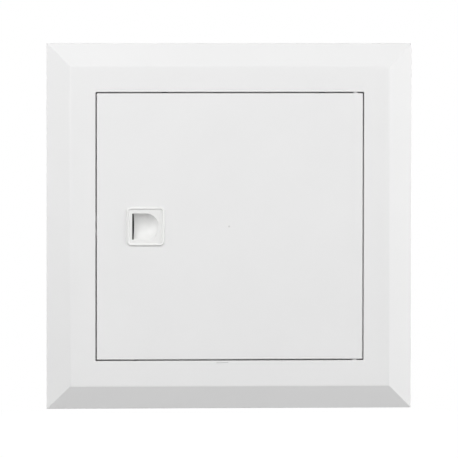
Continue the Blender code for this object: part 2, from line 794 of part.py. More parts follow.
def build_door():
    door = door_shell()
    cut(door, door_pocket())
    for ribs in door_ribs():
        join(door, ribs)
    join(door, knuckle_blocks())
    cut(door, knuckle_bores())
    join(door, keeper_rods("keeper bosses", DOOR_WALL - BITE, KEEPER_FRONT - GAP, KEEPER_BOSS_RADIUS))
    pilot_end = KEEPER_BACK - KEEPER_SCREW_LENGTH - GAP
    cut(door, keeper_rods("keeper pilots", pilot_end, KEEPER_BACK + OVERRUN, KEEPER_SCREW_RADIUS + GAP))
    join(door, spring_post())
    join(door, post_spigot())
    cut(door, latch_window())
    cut(door, tongue_notches())
    cut(door, gate_mark())
    return door


# Hinge pins: pushed from inside the door into the frame


def build_pin(name, side):
    tip = OPENING_HALF + PIN_ENTRY
    profile = [
        (PIN_START, 0.0),
        (PIN_START, PIN_RADIUS),
        (tip - PIN_CHAMFER, PIN_RADIUS),
        (tip, PIN_RADIUS - PIN_CHAMFER),
        (tip, 0.0),
    ]
    bm = bmesh.new()
    add_turned(bm, profile, spot(PIN_X, PIN_DEPTH, 0), (0, 0, side), 24)
    pin = object_from(bm, name, PARTS, WHITE_ACETAL)
    smooth(pin.data)
    tang = bmesh.new()
    along = mirrored((PIN_START + GAP, KNUCKLE_INNER - GAP), side)
    add_box(tang, around(PIN_X, TANG_HALF_WIDTH), depths(PIN_DEPTH, PIN_DEPTH + TANG_HEIGHT), along)
    join(pin, tool(tang, "pin tang"))
    return pin


# Finger cup: a plate with a bead, a scoop through the door, and hooks that hold the bolt


def capsule(radius, left):
    """A rod with one round end, along X, that stands for the scoop."""
    bm = bmesh.new()
    dome = arc((0.0, 0.0), radius, math.pi / 2, 0.0, SCOOP_STEPS // 4)
    profile = [(left - CUP_X, 0.0), (left - CUP_X, radius), *dome[:-1], (radius, 0.0)]
    add_turned(bm, profile, spot(CUP_X, SCOOP_AXIS, 0), (1, 0, 0), SCOOP_STEPS)
    return bm


def cup_plate():
    """The plate, as thick as its bead is high, before the flat inside the bead is sunk."""
    bm = bmesh.new()
    x = around(CUP_X, CUP_WIDTH / 2)
    z = around(0, CUP_HEIGHT / 2)
    add_plate(bm, x, depths(CUP_FRONT - BEAD_HEIGHT, -CUP_RIDE), z, CUP_CORNER)
    round_face_edges(bm, FACE_Y + CUP_FRONT - BEAD_HEIGHT, BEAD_ROUND, 3)
    return object_from(bm, "latch_cup", PARTS, WHITE_ACETAL)


def bead_inside():
    """The flat inside the bead, with walls that lean outwards."""
    bm = bmesh.new()
    half_x = CUP_WIDTH / 2 - BEAD_WIDTH
    half_z = CUP_HEIGHT / 2 - BEAD_WIDTH
    sink = depths(CUP_FRONT - 2 * BEAD_HEIGHT, CUP_FRONT)
    add_plate(bm, around(0, half_x), sink, around(0, half_z), CUP_CORNER - BEAD_WIDTH)
    front = [vert for vert in bm.verts if abs(vert.co.y - sink[0]) < 1e-6]
    widen = (1 + 2 * BEAD_LEAN / half_x, 1, 1 + 2 * BEAD_LEAN / half_z)
    bmesh.ops.scale(bm, vec=widen, verts=front)
    bmesh.ops.translate(bm, vec=(CUP_X, 0, 0), verts=bm.verts)
    return tool(bm, "bead inside")


def slot_swell():
    """A lens that hollows the scoop's cut end, so that the slot is widest in the middle."""
    radius = (SCOOP_HALF_WIDTH**2 + SLOT_SWELL**2) / (2 * SLOT_SWELL)
    reach = math.asin(SCOOP_HALF_WIDTH / radius)
    hollow = arc((SCOOP_LEFT + SLOT_SWELL - radius, 0), radius, -reach, reach, SWELL_STEPS)
    left = SCOOP_LEFT - SLOT_WIDTH / 2
    outline = [(left, hollow[0][1]), *hollow, (left, hollow[-1][1])]
    bm = bmesh.new()
    add_prism(bm, [spot(x, 0, z) for x, z in outline], Vector((0, SCOOP_DEPTH + OVERRUN, 0)))
    return tool(bm, "slot swell")


def scoop_shell():
    shell = tool(capsule(SCOOP_OUTER, SCOOP_LEFT), "scoop shell")
    bm = bmesh.new()
    wide = around(0, 2 * SCOOP_OUTER)
    add_box(bm, around(CUP_X, 2 * SCOOP_OUTER), depths(CUP_FRONT + CUP_PLATE / 2, 3 * SCOOP_OUTER), wide)
    keep_inside(shell, tool(bm, "behind the plate"))
    cut(shell, slot_swell())
    return shell


def cup_stems():
    """A wall on each side of the scoop, which drives the bolt."""
    bm = bmesh.new()
    depth = depths(CUP_FRONT + CUP_PLATE / 2, BOLT_BACK + GAP + HOOK_THICKNESS)
    for side in (-1, 1):
        add_box(bm, (STEM_LEFT, STEM_RIGHT), depth, mirrored((STEM_OUT - STEM_WALL, STEM_OUT), side))
    return tool(bm, "cup stems")


def cup_hooks():
    bm = bmesh.new()
    front = BOLT_BACK + GAP
    back = front + HOOK_THICKNESS
    root = STEM_OUT - STEM_WALL / 2
    middle = (STEM_LEFT + STEM_RIGHT) / 2
    for side in (-1, 1):
        tip = STEM_OUT + HOOK_REACH
        outline = [(root, front), (tip, front), (tip - HOOK_SLOPE, back), (root, back)]
        points = [spot(middle - HOOK_HALF_LENGTH, depth, side * z) for z, depth in outline]
        add_prism(bm, points, Vector((2 * HOOK_HALF_LENGTH, 0, 0)))
    return tool(bm, "cup hooks")


def build_cup():
    cup = cup_plate()
    cut(cup, bead_inside())
    join(cup, scoop_shell())
    join(cup, cup_stems())
    join(cup, cup_hooks())
    cut(cup, tool(capsule(SCOOP_RADIUS, SCOOP_LEFT - SLOT_WIDTH), "scoop"))
    return cup


# Bolt: a flat plate behind the door, with two tongues


def bolt_hole():
    bm = bmesh.new()
    span = (BOLT_HOLE_LEFT, BOLT_HOLE_RIGHT)
    through = depths(BOLT_FRONT - OVERRUN, BOLT_BACK + OVERRUN)
    add_plate(bm, span, through, around(0, STEM_OUT + GAP), BOLT_HOLE_CORNER)
    return tool(bm, "bolt hole")


def bolt_body():
    bm = bmesh.new()
    left = -DOOR_HALF + SKIRT_WALL + GAP
    add_box(bm, (left, BOLT_LEFT + BITE), depths(BOLT_FRONT, BOLT_BACK), around(0, BOLT_HALF_WIDTH))
    return tool(bm, "bolt body")


def bolt_tongues():
    bm = bmesh.new()
    root = -DOOR_HALF + SKIRT_WALL + GAP + BITE
    tip = -OPENING_HALF - TONGUE_ENGAGEMENT
    outline = [
        (root, BOLT_FRONT),
        (tip, BOLT_FRONT),
        (tip, BOLT_FRONT + TONGUE_TIP),
        (tip + TONGUE_SLOPE, BOLT_BACK),
        (root, BOLT_BACK),
    ]
    for side in (-1, 1):
        low = side * TONGUE_OFFSET - TONGUE_HALF_WIDTH
        add_prism(bm, [spot(x, depth, low) for x, depth in outline], Vector((0, 0, 2 * TONGUE_HALF_WIDTH)))
    return tool(bm, "bolt tongues")


def bolt_pad():
    """A thicker patch that backs the spring's spigot."""
    bm = bmesh.new()
    depth = depths(BOLT_FRONT, SPRING_DEPTH + SPRING_RADIUS)
    add_box(bm, (BOLT_RIGHT - PAD_LENGTH, BOLT_RIGHT), depth, around(0, SPRING_RADIUS + PAD_MARGIN))
    return tool(bm, "bolt pad")


def bolt_spigot():
    bm = bmesh.new()
    start = spot(BOLT_RIGHT - BITE, SPRING_DEPTH, 0)
    add_rod(bm, start, (1, 0, 0), SPIGOT_LENGTH + BITE, SPIGOT_RADIUS, SMALL_ROUND_STEPS)
    return tool(bm, "bolt spigot")


def build_bolt():
    bm = bmesh.new()
    add_plate(bm, (BOLT_LEFT, BOLT_RIGHT), depths(BOLT_FRONT, BOLT_BACK), around(0, RING_HALF), BOLT_CORNER)
    bolt = object_from(bm, "latch_bolt", PARTS, WHITE_ACETAL)
    join(bolt, bolt_body())
    cut(bolt, bolt_hole())
    join(bolt, bolt_tongues())
    join(bolt, bolt_pad())
    join(bolt, bolt_spigot())
    return bolt


# Spring: a coil between the bolt and the post


def build_spring():
    curve = bpy.data.curves.new("latch_spring", "CURVE")
    curve.dimensions = "3D"
    curve.bevel_depth = SPRING_WIRE / 2
    curve.bevel_resolution = 2
    curve.use_fill_caps = True
    line = curve.splines.new("POLY")
    count = SPRING_TURNS * SPRING_POINTS + 1
    line.points.add(count - 1)
    coil_radius = SPRING_RADIUS - SPRING_WIRE / 2
    rise = SPRING_LENGTH - SPRING_WIRE
    for index, point in enumerate(line.points):
        turn = index / SPRING_POINTS
        dead = min(turn, 1.0) * 0.25 + min(max(turn - 1, 0), SPRING_TURNS - 2)
        dead += max(turn - SPRING_TURNS + 1, 0) * 0.25
        along = SPRING_START + SPRING_WIRE / 2 + rise * dead / (SPRING_TURNS - 1.5)
        angle = turn * math.tau
        depth = SPRING_DEPTH + coil_radius * math.cos(angle)
        point.co = (*spot(along, depth, coil_radius * math.sin(angle)), 1.0)
    curve.materials.append(new_material("latch_spring", *SPRING_STEEL))
    spring = bpy.data.objects.new("latch_spring", curve)
    PARTS.objects.link(spring)
    return spring


# Keeper: a strip that holds the bolt, bent back to a cover behind the cup, and two screws


def keeper_outline():
    """The blank, seen along Y, as a tool that rounds its corners."""
    bm = bmesh.new()
    across = (KEEPER_X - KEEPER_WIDTH / 2, CUP_X + KEEPER_REACH)
    through = depths(KEEPER_FRONT - OVERRUN, COVER_FRONT + OVERRUN)
    add_plate(bm, across, through, around(0, KEEPER_SCREW_Z + KEEPER_BOSS_RADIUS), KEEPER_CORNER)
    return tool(bm, "keeper outline")


def build_keeper():
    bend = KEEPER_X + KEEPER_WIDTH / 2
    lean = KEEPER_THICKNESS / 2  # keeps the slope as thick as the rest
    cover_back = COVER_FRONT + KEEPER_THICKNESS
    ends = (KEEPER_X - KEEPER_WIDTH, CUP_X + 2 * KEEPER_REACH)
    outline = [
        (ends[0], KEEPER_FRONT),
        (bend, KEEPER_FRONT),
        (bend + KEEPER_JOGGLE, COVER_FRONT),
        (ends[1], COVER_FRONT),
        (ends[1], cover_back),
        (bend + KEEPER_JOGGLE - lean, cover_back),
        (bend - lean, KEEPER_BACK),
        (ends[0], KEEPER_BACK),
    ]
    half = 2 * KEEPER_SCREW_Z
    bm = bmesh.new()
    add_prism(bm, [spot(x, depth, -half) for x, depth in outline], Vector((0, 0, 2 * half)))
    keeper = object_from(bm, "bolt_keeper", PARTS, BLACK_STEEL)
    keep_inside(keeper, keeper_outline())
    hole = KEEPER_SCREW_RADIUS + GAP
    cut(keeper, keeper_rods("keeper holes", KEEPER_FRONT - OVERRUN, KEEPER_BACK + OVERRUN, hole))
    return keeper


def pan_head(radius, height):
    """Profile of a pan head as (along, radius), from its crown to its seat."""
    crown_radius = height * HEAD_CROWN
    crown = arc((crown_radius, radius - crown_radius), crown_radius, math.pi, math.pi / 2, 3)
    return [(0.0, 0.0), *crown, (height, radius)]


def screw_mesh(name, head_radius, head, shank_radius, length, finish, steps):
    """A pan-head screw along +Y from the crown of its head, with a cross recess."""
    bm = bmesh.new()
    chamfer = shank_radius * SHANK_CHAMFER
    profile = [
        *pan_head(head_radius, head),
        (head, shank_radius),
        (head + length - chamfer, shank_radius),
        (head + length, shank_radius - chamfer),
        (head + length, 0.0),
    ]
    add_turned(bm, profile, (0, 0, 0), (0, 1, 0), steps)
    screw = object_from(bm, name, CUTTERS, finish)
    smooth(screw.data)
    tools = []
    for across, up, deep in ((1.0, RECESS_SLOT, RECESS_DEPTH), (RECESS_SLOT, 1.0, RECESS_DEPTH * 0.99)):
        recess = bmesh.new()
        wide = around(0, head_radius * RECESS_SPAN * across)
        high = around(0, head_radius * RECESS_SPAN * up)
        add_box(recess, wide, (-OVERRUN, head * deep), high)
        tools.append(tool(recess, "cross recess"))
        cut(screw, tools[-1])
    return settled_mesh(screw, tools)


def build_keeper_screws():
    mesh = screw_mesh(
        "keeper screw",
        KEEPER_HEAD_RADIUS,
        KEEPER_HEAD,
        KEEPER_SCREW_RADIUS,
        KEEPER_SCREW_LENGTH + GAP,
        ZINC_STEEL,
        SMALL_ROUND_STEPS,
    )
    turn = Matrix.Rotation(math.pi, 4, "Z")
    screws = []
    for number, side in enumerate((1, -1), 1):
        screw = bpy.data.objects.new(f"keeper_screw_{number}", mesh)
        PARTS.objects.link(screw)
        crown = spot(KEEPER_X, KEEPER_BACK + GAP + KEEPER_HEAD, side * KEEPER_SCREW_Z)
        screw.matrix_basis = Matrix.Translation(crown) @ turn
        screws.append(screw)
    return screws


# Clamps: each is modelled on its own screw, then placed four times


def insert_mesh():
    bm = bmesh.new()
    profile = [
        (INSERT_START, SCREW_BORE),
        (INSERT_END + INSERT_FLANGE, SCREW_BORE),
        (INSERT_END + INSERT_FLANGE, INSERT_FLANGE_RADIUS),
        (INSERT_END, INSERT_FLANGE_RADIUS),
        (INSERT_END, INSERT_RADIUS),
        (INSERT_START, INSERT_RADIUS),
    ]
    add_turned(bm, profile, (0, 0, 0), (0, 1, 0), ROUND_STEPS)
    obj = object_from(bm, "clamp insert", CUTTERS, BRASS)
    smooth(obj.data)
    return settled_mesh(obj, [])


def arm_mesh():
    """A hub, a thinner web and a foot with grooves that bite the board."""
    bm = bmesh.new()
    web_front = HUB_END - ARM_WEB
    tip = -ARM_LENGTH
    outline = [
        (0, ARM_HALF_WIDTH),
        (tip + ARM_NOSE, ARM_TIP_HALF_WIDTH),
        (tip, ARM_NOSE_HALF_WIDTH),
        (tip, -ARM_NOSE_HALF_WIDTH),
        (tip + ARM_NOSE, -ARM_TIP_HALF_WIDTH),
        (0, -ARM_HALF_WIDTH),
    ]
    add_prism(bm, [Vector((x, INSERT_START, z)) for x, z in outline], Vector((0, HUB_END - INSERT_START, 0)))
    arm = object_from(bm, "clamp arm", CUTTERS, NATURAL_NYLON)
    hub = bmesh.new()
    add_rod(hub, (0, INSERT_START, 0), (0, 1, 0), HUB_END - INSERT_START, HUB_RADIUS)
    relief = bmesh.new()
    span = (tip + FOOT_LENGTH, -HUB_RADIUS - HUB_SHOULDER)
    add_box(relief, span, (INSERT_START - OVERRUN, web_front), around(0, 2 * ARM_HALF_WIDTH))
    grooves = bmesh.new()
    pitch = FOOT_LENGTH / (FOOT_GROOVES + 1)
    for index in range(FOOT_GROOVES):
        middle = tip + pitch * (index + 1)
        points = [
            Vector((middle - 2 * FOOT_GROOVE, INSERT_START - FOOT_GROOVE, -2 * ARM_HALF_WIDTH)),
            Vector((middle + 2 * FOOT_GROOVE, INSERT_START - FOOT_GROOVE, -2 * ARM_HALF_WIDTH)),
            Vector((middle, INSERT_START + FOOT_GROOVE, -2 * ARM_HALF_WIDTH)),
        ]
        add_prism(grooves, points, Vector((0, 0, 4 * ARM_HALF_WIDTH)))
    bore = bmesh.new()
    length = HUB_END - INSERT_START + 2 * OVERRUN
    add_rod(bore, (0, INSERT_START - OVERRUN, 0), (0, 1, 0), length, INSERT_RADIUS + GAP)
    hub_tool = tool(hub, "arm hub")
    tools = [hub_tool, tool(relief, "arm relief"), tool(grooves, "foot grooves"), tool(bore, "arm bore")]
    join(arm, hub_tool)
    for cutter in tools[1:]:
        cut(arm, cutter)
    return settled_mesh(arm, tools)


def build_clamps():
    head_front = LUG_FRONT - GAP - SCREW_HEAD
    length = SCREW_REACH - LUG_FRONT + GAP
    head = (SCREW_HEAD_RADIUS, SCREW_HEAD)
    screw = screw_mesh("clamp screw", *head, SCREW_RADIUS, length, ZINC_STEEL, ROUND_STEPS)
    insert = insert_mesh()
    arm = arm_mesh()
    for number, station in enumerate(CLAMP_STATIONS, 1):
        empty = hinge_point(f"clamp axis {number}", (0, 0, 0))
        empty.matrix_basis = clamp_place(station)
        for kind, mesh, start in (("screw", screw, head_front), ("insert", insert, 0), ("arm", arm, 0)):
            piece = bpy.data.objects.new(f"clamp_{kind}_{number}", mesh)
            PARTS.objects.link(piece)
            piece.parent = empty
            piece.location = (0, start, 0)


def build_panel():
    build_frame()
    hinge_place = spot(PIN_X, PIN_DEPTH, 0)
    hinge = hinge_point("door hinge axis", hinge_place)
    door_pieces = [
        build_door(),
        build_pin("hinge_pin_top", 1),
        build_pin("hinge_pin_bottom", -1),
        build_keeper(),
        *build_keeper_screws(),
        build_spring(),
    ]
    for piece in door_pieces:
        hang(piece, hinge, hinge_place)
    slide_place = spot(CUP_X, 0, 0)
    slide = hinge_point("latch slide axis", slide_place, hinge)
    for piece in (build_cup(), build_bolt()):
        hang(piece, slide, slide_place)
    build_clamps()


build_panel()
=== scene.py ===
# %% [markdown]
# # A ceiling access panel in white ABS
#
# The real panel is a moulded square frame with a door that swings on two hidden pins. A finger cup
# slides to free the door, and four clamps behind the frame grip the board round the hole.
# The solids of the panel are loaded first, and everything below dresses them. Each one keeps its
# place: a new piece takes its size and its centre from the box of the solid that it stands for.

# %% Load the fixed frame
import math

import bmesh
import bpy
from mathutils import Matrix, Vector


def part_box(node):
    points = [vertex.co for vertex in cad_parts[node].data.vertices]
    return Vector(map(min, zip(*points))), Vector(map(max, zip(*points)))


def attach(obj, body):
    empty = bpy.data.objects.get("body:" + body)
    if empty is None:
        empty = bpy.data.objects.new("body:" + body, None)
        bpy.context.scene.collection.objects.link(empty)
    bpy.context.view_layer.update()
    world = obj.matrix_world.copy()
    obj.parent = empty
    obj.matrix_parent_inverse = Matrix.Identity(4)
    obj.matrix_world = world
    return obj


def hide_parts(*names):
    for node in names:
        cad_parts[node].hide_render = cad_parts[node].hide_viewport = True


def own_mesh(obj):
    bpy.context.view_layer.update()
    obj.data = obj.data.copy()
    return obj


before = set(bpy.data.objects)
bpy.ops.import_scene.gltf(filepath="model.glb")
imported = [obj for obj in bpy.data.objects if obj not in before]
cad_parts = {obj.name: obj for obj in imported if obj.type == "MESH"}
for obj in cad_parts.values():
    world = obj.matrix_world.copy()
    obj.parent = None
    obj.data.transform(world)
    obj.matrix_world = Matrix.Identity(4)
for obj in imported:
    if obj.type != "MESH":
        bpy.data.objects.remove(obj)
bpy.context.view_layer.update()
MM = 0.001
DOOR_FACE = -8.0 * MM  # the flat front of the door, along Y

# %% [markdown]
# ## Helpers for materials
#
# A colour is easiest to name as the hex code that a paint program shows. Blender's shaders want
# linear light, so one function turns the code into that. A second one adds a node, with its
# settings and its links, and every material below is written with these two.


# %% Colour and node helpers
def linear(code):
    """An sRGB hex colour as linear light, with alpha."""
    channels = [int(code[i : i + 2], 16) / 255 for i in (1, 3, 5)]
    return (*[c / 12.92 if c <= 0.04045 else ((c + 0.055) / 1.055) ** 2.4 for c in channels], 1.0)


def add_node(tree, kind, inputs=None, **settings):
    """Adds a node. An input is a plain value, or the output of another node."""
    node = tree.nodes.new(kind)
    for name, value in settings.items():
        setattr(node, name, value)
    for socket, value in (inputs or {}).items():
        if isinstance(value, bpy.types.NodeSocket):
            tree.links.new(value, node.inputs[socket])
        else:
            node.inputs[socket].default_value = value
    return node


def per(size):
    """The scale of a texture whose features are this large, in metres."""
    return 1.0 / size


def start_material(name, **shader_inputs):
    """A material with its Principled shader set. Returns the material, its tree and the shader."""
    material = bpy.data.materials.new(name)
    material.use_nodes = True
    tree = material.node_tree
    shader = tree.nodes["Principled BSDF"]
    for socket, value in shader_inputs.items():
        shader.inputs[socket.replace("_", " ")].default_value = value
    return material, tree, shader


# %% [markdown]
# ## Moulded ABS, acetal and nylon
#
# The frame and the door are ABS, moulded in a tool whose face was finished by sparks. To the eye
# that is an even satin white. Its grain is about 0.08 mm, too fine for this picture, so it is drawn
# at 0.35 mm and very shallow. Broad, faint clouding stands for the flow of the plastic, and patches
# of gloss stand for the handling that every moulding gets.
#
# The cup, the bolt and the pins rub on other plastic, so they are acetal: smoother, with a waxy
# gloss. The clamp arms are nylon in its natural cream, with a duller, cloudier skin. All three are
# one recipe with other numbers, so one function writes them.


# %% Moulded plastics
CLOUD_SIZE = 45.0 * MM
SHEEN_PATCH = 6.0 * MM
GRAIN_SIZE = 0.35 * MM


def moulded_plastic(name, low, high, satin, grain_height, ior, cloud_size=CLOUD_SIZE):
    """A satin moulding: clouded colour, patchy gloss and a fine grain."""
    material, tree, shader = start_material(name, IOR=ior)
    place = add_node(tree, "ShaderNodeTexCoord").outputs["Object"]
    cloud = add_node(
        tree, "ShaderNodeTexNoise", {"Vector": place, "Scale": per(cloud_size), "Detail": 3.0}
    )
    colour = add_node(
        tree,
        "ShaderNodeMix",
        {"Factor": cloud.outputs["Fac"], "A": linear(low), "B": linear(high)},
        data_type="RGBA",
    )
    tree.links.new(colour.outputs["Result"], shader.inputs["Base Color"])
    patch = add_node(
        tree, "ShaderNodeTexNoise", {"Vector": place, "Scale": per(SHEEN_PATCH), "Detail": 4.0}
    )
    gloss = add_node(
        tree,
        "ShaderNodeMapRange",
        {"Value": patch.outputs["Fac"], "To Min": satin[0], "To Max": satin[1]},
    )
    tree.links.new(gloss.outputs["Result"], shader.inputs["Roughness"])
    grain = add_node(
        tree, "ShaderNodeTexNoise", {"Vector": place, "Scale": per(GRAIN_SIZE), "Detail": 2.0}
    )
    bump = add_node(
        tree,
        "ShaderNodeBump",
        {"Height": grain.outputs["Fac"], "Strength": 0.35, "Distance": grain_height},
    )
    tree.links.new(bump.outputs["Normal"], shader.inputs["Normal"])
    return material


moulded_abs = moulded_plastic("moulded_abs", "#E3E3E3", "#E7E7E7", (0.38, 0.5), 0.012 * MM, 1.54)
acetal = moulded_plastic("moulded_acetal", "#E5E5E4", "#E8E8E7", (0.42, 0.52), 0.005 * MM, 1.48)
nylon = moulded_plastic(
    "natural_nylon", "#CBC1A3", "#E3DCC8", (0.38, 0.58), 0.02 * MM, 1.53, cloud_size=7.0 * MM
)
print("made", moulded_abs.name, acetal.name, nylon.name)

# %% [markdown]
# ## Turned and drawn metals
#
# A lathe leaves rings round a turned brass insert, and a die leaves lines along drawn wire. Rings
# and lines follow the piece and not the room, so they can't read plain object coordinates. Each
# turned piece carries an attribute instead, with its distance from its own axis and its place along
# it, and the noise reads that. Zinc plating is a thin bright skin on rolled steel, faintly blue,
# with soft blotches where the bath ran unevenly.


# %% Metals
LATHE_FEED = 0.12 * MM  # a real feed is about 0.05 mm, too fine to show
AROUND_SCALE = 0.02  # the rings hardly change on their way round


def worked_metal(name, low, high, gloss_range, blotch):
    """A metal with blotches of colour and fine rings or lines of gloss."""
    material, tree, shader = start_material(name, Metallic=1.0)
    place = add_node(tree, "ShaderNodeTexCoord").outputs["Object"]
    cloud = add_node(tree, "ShaderNodeTexNoise", {"Vector": place, "Scale": per(blotch), "Detail": 5.0})
    colour = add_node(
        tree,
        "ShaderNodeMix",
        {"Factor": cloud.outputs["Fac"], "A": linear(low), "B": linear(high)},
        data_type="RGBA",
    )
    tree.links.new(colour.outputs["Result"], shader.inputs["Base Color"])
    turned = add_node(tree, "ShaderNodeAttribute", attribute_name="turned")
    rings = add_node(
        tree,
        "ShaderNodeTexNoise",
        {"Vector": turned.outputs["Vector"], "Scale": per(LATHE_FEED), "Detail": 3.0},
    )
    gloss = add_node(
        tree,
        "ShaderNodeMapRange",
        {"Value": rings.outputs["Fac"], "To Min": gloss_range[0], "To Max": gloss_range[1]},
    )
    tree.links.new(gloss.outputs["Result"], shader.inputs["Roughness"])
    bump = add_node(
        tree,
        "ShaderNodeBump",
        {"Height": rings.outputs["Fac"], "Strength": 0.3, "Distance": 0.008 * MM},
    )
    tree.links.new(bump.outputs["Normal"], shader.inputs["Normal"])
    return material


zinc_steel = worked_metal("zinc_plated_steel", "#B9BDC1", "#CDD0D2", (0.24, 0.42), 3.0 * MM)
spring_steel = worked_metal("drawn_spring_steel", "#8E9093", "#A4A6A8", (0.22, 0.36), 1.5 * MM)
brass = worked_metal("turned_brass", "#B39460", "#C6A877", (0.26, 0.4), 2.0 * MM)
print("made", zinc_steel.name, spring_steel.name, brass.name)

# %% [markdown]
# ## Blackened sheet
#
# The keeper behind the cup is thin steel sheet, phosphated black. Its black is also painted shade: it
# keeps the slot in front of it dark, as a shaded hollow is, so that nothing shines through the slot.
# Phosphate grows as tiny crystals: nearly matt, dark grey, with a slight sparkle where the
# crystals stand at different angles. They are 0.03 mm on the real sheet and are drawn at 0.2 mm.

# %% Blackened sheet
CRYSTAL = 0.2 * MM
black_steel, tree, shader = start_material("phosphated_sheet_painted_slot_shade", IOR=1.7)
place = add_node(tree, "ShaderNodeTexCoord").outputs["Object"]
crystals = add_node(tree, "ShaderNodeTexVoronoi", {"Vector": place, "Scale": per(CRYSTAL)})
# this dark grey is painted shade for the slot in front of the keeper
slot_shade_tint = add_node(
    tree,
    "ShaderNodeMix",
    {"Factor": crystals.outputs["Color"], "A": linear("#1B1B1C"), "B": linear("#2B2B2C")},
    data_type="RGBA",
)
tree.links.new(slot_shade_tint.outputs["Result"], shader.inputs["Base Color"])
dullness = add_node(
    tree,
    "ShaderNodeMapRange",
    {"Value": crystals.outputs["Distance"], "To Min": 0.5, "To Max": 0.75},
)
tree.links.new(dullness.outputs["Result"], shader.inputs["Roughness"])
facets = add_node(
    tree,
    "ShaderNodeBump",
    {"Height": crystals.outputs["Distance"], "Strength": 0.3, "Distance": 0.01 * MM},
)
tree.links.new(facets.outputs["Normal"], shader.inputs["Normal"])
print("made", black_steel.name)

# %% [markdown]
# ## Helpers for meshes
#
# A solid from the CAD comes in as loose triangles with sharp edges. A moulding has none: every
# edge has a small radius, and that radius is what catches the light. So each moulding is a merged
# copy of its solid, and a Bevel modifier rounds its edges. The Weighted Normal modifier then lets
# the large flat faces keep their own direction, so that no shade fans out over them.


# %% Mesh helpers
MERGE = 0.001 * MM
FLAT_ANGLE = math.radians(0.4)
SHARP_ANGLE = math.radians(28.0)


def make_flat_whole(bm):
    """Joins the triangles of each flat face."""
    bmesh.ops.dissolve_limit(
        bm, angle_limit=FLAT_ANGLE, verts=bm.verts, edges=bm.edges, use_dissolve_boundaries=False
    )


def merged_copy(node):
    """The mesh of a CAD node as a bmesh, welded, with its flat faces made whole."""
    bm = bmesh.new()
    bm.from_mesh(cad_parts[node].data)
    bmesh.ops.remove_doubles(bm, verts=bm.verts, dist=MERGE)
    make_flat_whole(bm)
    return bm


def make_piece(bm, name, material, body, slot, *nodes):
    """Turns a bmesh into a piece that rides on a body, and stands for CAD nodes."""
    mesh = bpy.data.meshes.new(name)
    bm.to_mesh(mesh)
    bm.free()
    mesh.materials.append(material)
    mesh.shade_smooth()
    mesh.set_sharp_from_angle(angle=SHARP_ANGLE)
    piece = bpy.data.objects.new(name, mesh)
    bpy.context.scene.collection.objects.link(piece)
    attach(piece, body)
    if nodes:
        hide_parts(*nodes)
    print(name, "has", len(mesh.polygons), "faces")
    return piece


def keep_flat(piece):
    """Lets the large flat faces of a piece keep their own direction."""
    flat = piece.modifiers.new("flat faces", "WEIGHTED_NORMAL")
    flat.weight = 50
    flat.keep_sharp = True


def round_edges(piece, radius, segments=2):
    """Rounds every sharp edge of a piece, and keeps its flat faces flat."""
    bevel = piece.modifiers.new("rounded edges", "BEVEL")
    bevel.width = radius
    bevel.segments = segments
    bevel.limit_method = "ANGLE"
    bevel.angle_limit = SHARP_ANGLE
    bevel.use_clamp_overlap = True
    keep_flat(piece)


# %% [markdown]
# ## The frame and the door
#
# Both are large thin mouldings. Their front edges, where the door meets the frame, are the finest
# thing in the photograph: a dark line with a light one beside it, which is the rounded edge. One
# bevel for the whole moulding would round that edge too coarsely, so the rim is found by its place
# and rounded by itself, in more steps.

# %% Helpers for the rim
RIM_REACH = 95.0 * MM  # the rim of the opening lies inside this, and the mitred knee outside it
RIM_STEPS = 3


def front_rim(bm):
    """The edges round the opening, in the plane of the door's face."""
    edges = []
    for edge in bm.edges:
        on_face = all(abs(v.co.y - DOOR_FACE) < MERGE for v in edge.verts)
        inside = all(max(abs(v.co.x), abs(v.co.z)) < RIM_REACH for v in edge.verts)
        if on_face and inside and edge.calc_face_angle(0.0) > SHARP_ANGLE:
            edges.append(edge)
    return edges


def round_rim(bm, radius):
    """Rounds those edges."""
    rim = front_rim(bm)
    print("this rim has", len(rim), "edges")
    bmesh.ops.bevel(
        bm, geom=rim, offset=radius, segments=RIM_STEPS, profile=0.5, affect="EDGES", material=-1
    )


def sharpen_corners(bm, half, old, new):
    """Gives the rounded corners of a square wall a smaller radius."""
    for vert in bm.verts:
        x = abs(vert.co.x) - half + old
        z = abs(vert.co.z) - half + old
        if min(x, z) > -MERGE and math.hypot(x, z) < old + 5 * MERGE:
            vert.co.x = math.copysign(half - new + x * new / old, vert.co.x)
            vert.co.z = math.copysign(half - new + z * new / old, vert.co.z)


# %% [markdown]
# The corners of the dark line look sharper than those of the solids, so their radius is made
# smaller first: each point of the corner slides towards the corner's tip. The rim is rounded next,
# and the modifier then does all the edges behind.

# %% Frame and door
RIM_RADIUS = 0.4 * MM
OPENING_HALF = 91.9 * MM
OPENING_CORNERS = (1.5 * MM, 0.8 * MM)  # the radius in the solid, and the one seen
DOOR_HALF = 91.0 * MM
DOOR_CORNERS = (1.2 * MM, 0.5 * MM)

frame_bm = merged_copy("frame")
sharpen_corners(frame_bm, OPENING_HALF, *OPENING_CORNERS)
round_rim(frame_bm, RIM_RADIUS)
frame_moulding = make_piece(frame_bm, "frame_moulding", moulded_abs, "frame", "frame_abs", "frame")
round_edges(frame_moulding, 0.25 * MM)

door_bm = merged_copy("door_leaf")
sharpen_corners(door_bm, DOOR_HALF, *DOOR_CORNERS)
round_rim(door_bm, RIM_RADIUS)
door_moulding = make_piece(door_bm, "door_moulding", moulded_abs, "door", "door_abs", "door_leaf")
round_edges(door_moulding, 0.2 * MM)

# %% [markdown]
# ## Helpers for turned and carved pieces
#
# Screws, inserts and the scoop are solids of revolution: half a section is drawn beside the axis
# and spun round it. A rounded part of the section is an arc of short steps. The points are placed
# ring by ring and the faces laid between the rings, because the spin operator of bmesh numbers them
# in another order each time, and a Boolean after it then cuts its faces up in another way.


# %% Turning helpers
def lay_faces(bm, rings):
    """Lays faces between each ring of points and the next. A ring may be one point, repeated."""
    for ring, following in zip(rings, rings[1:]):
        corners = (ring, ring[1:] + ring[:1], following[1:] + following[:1], following)
        for quad in zip(*corners):
            bm.faces.new(list(dict.fromkeys(quad)))


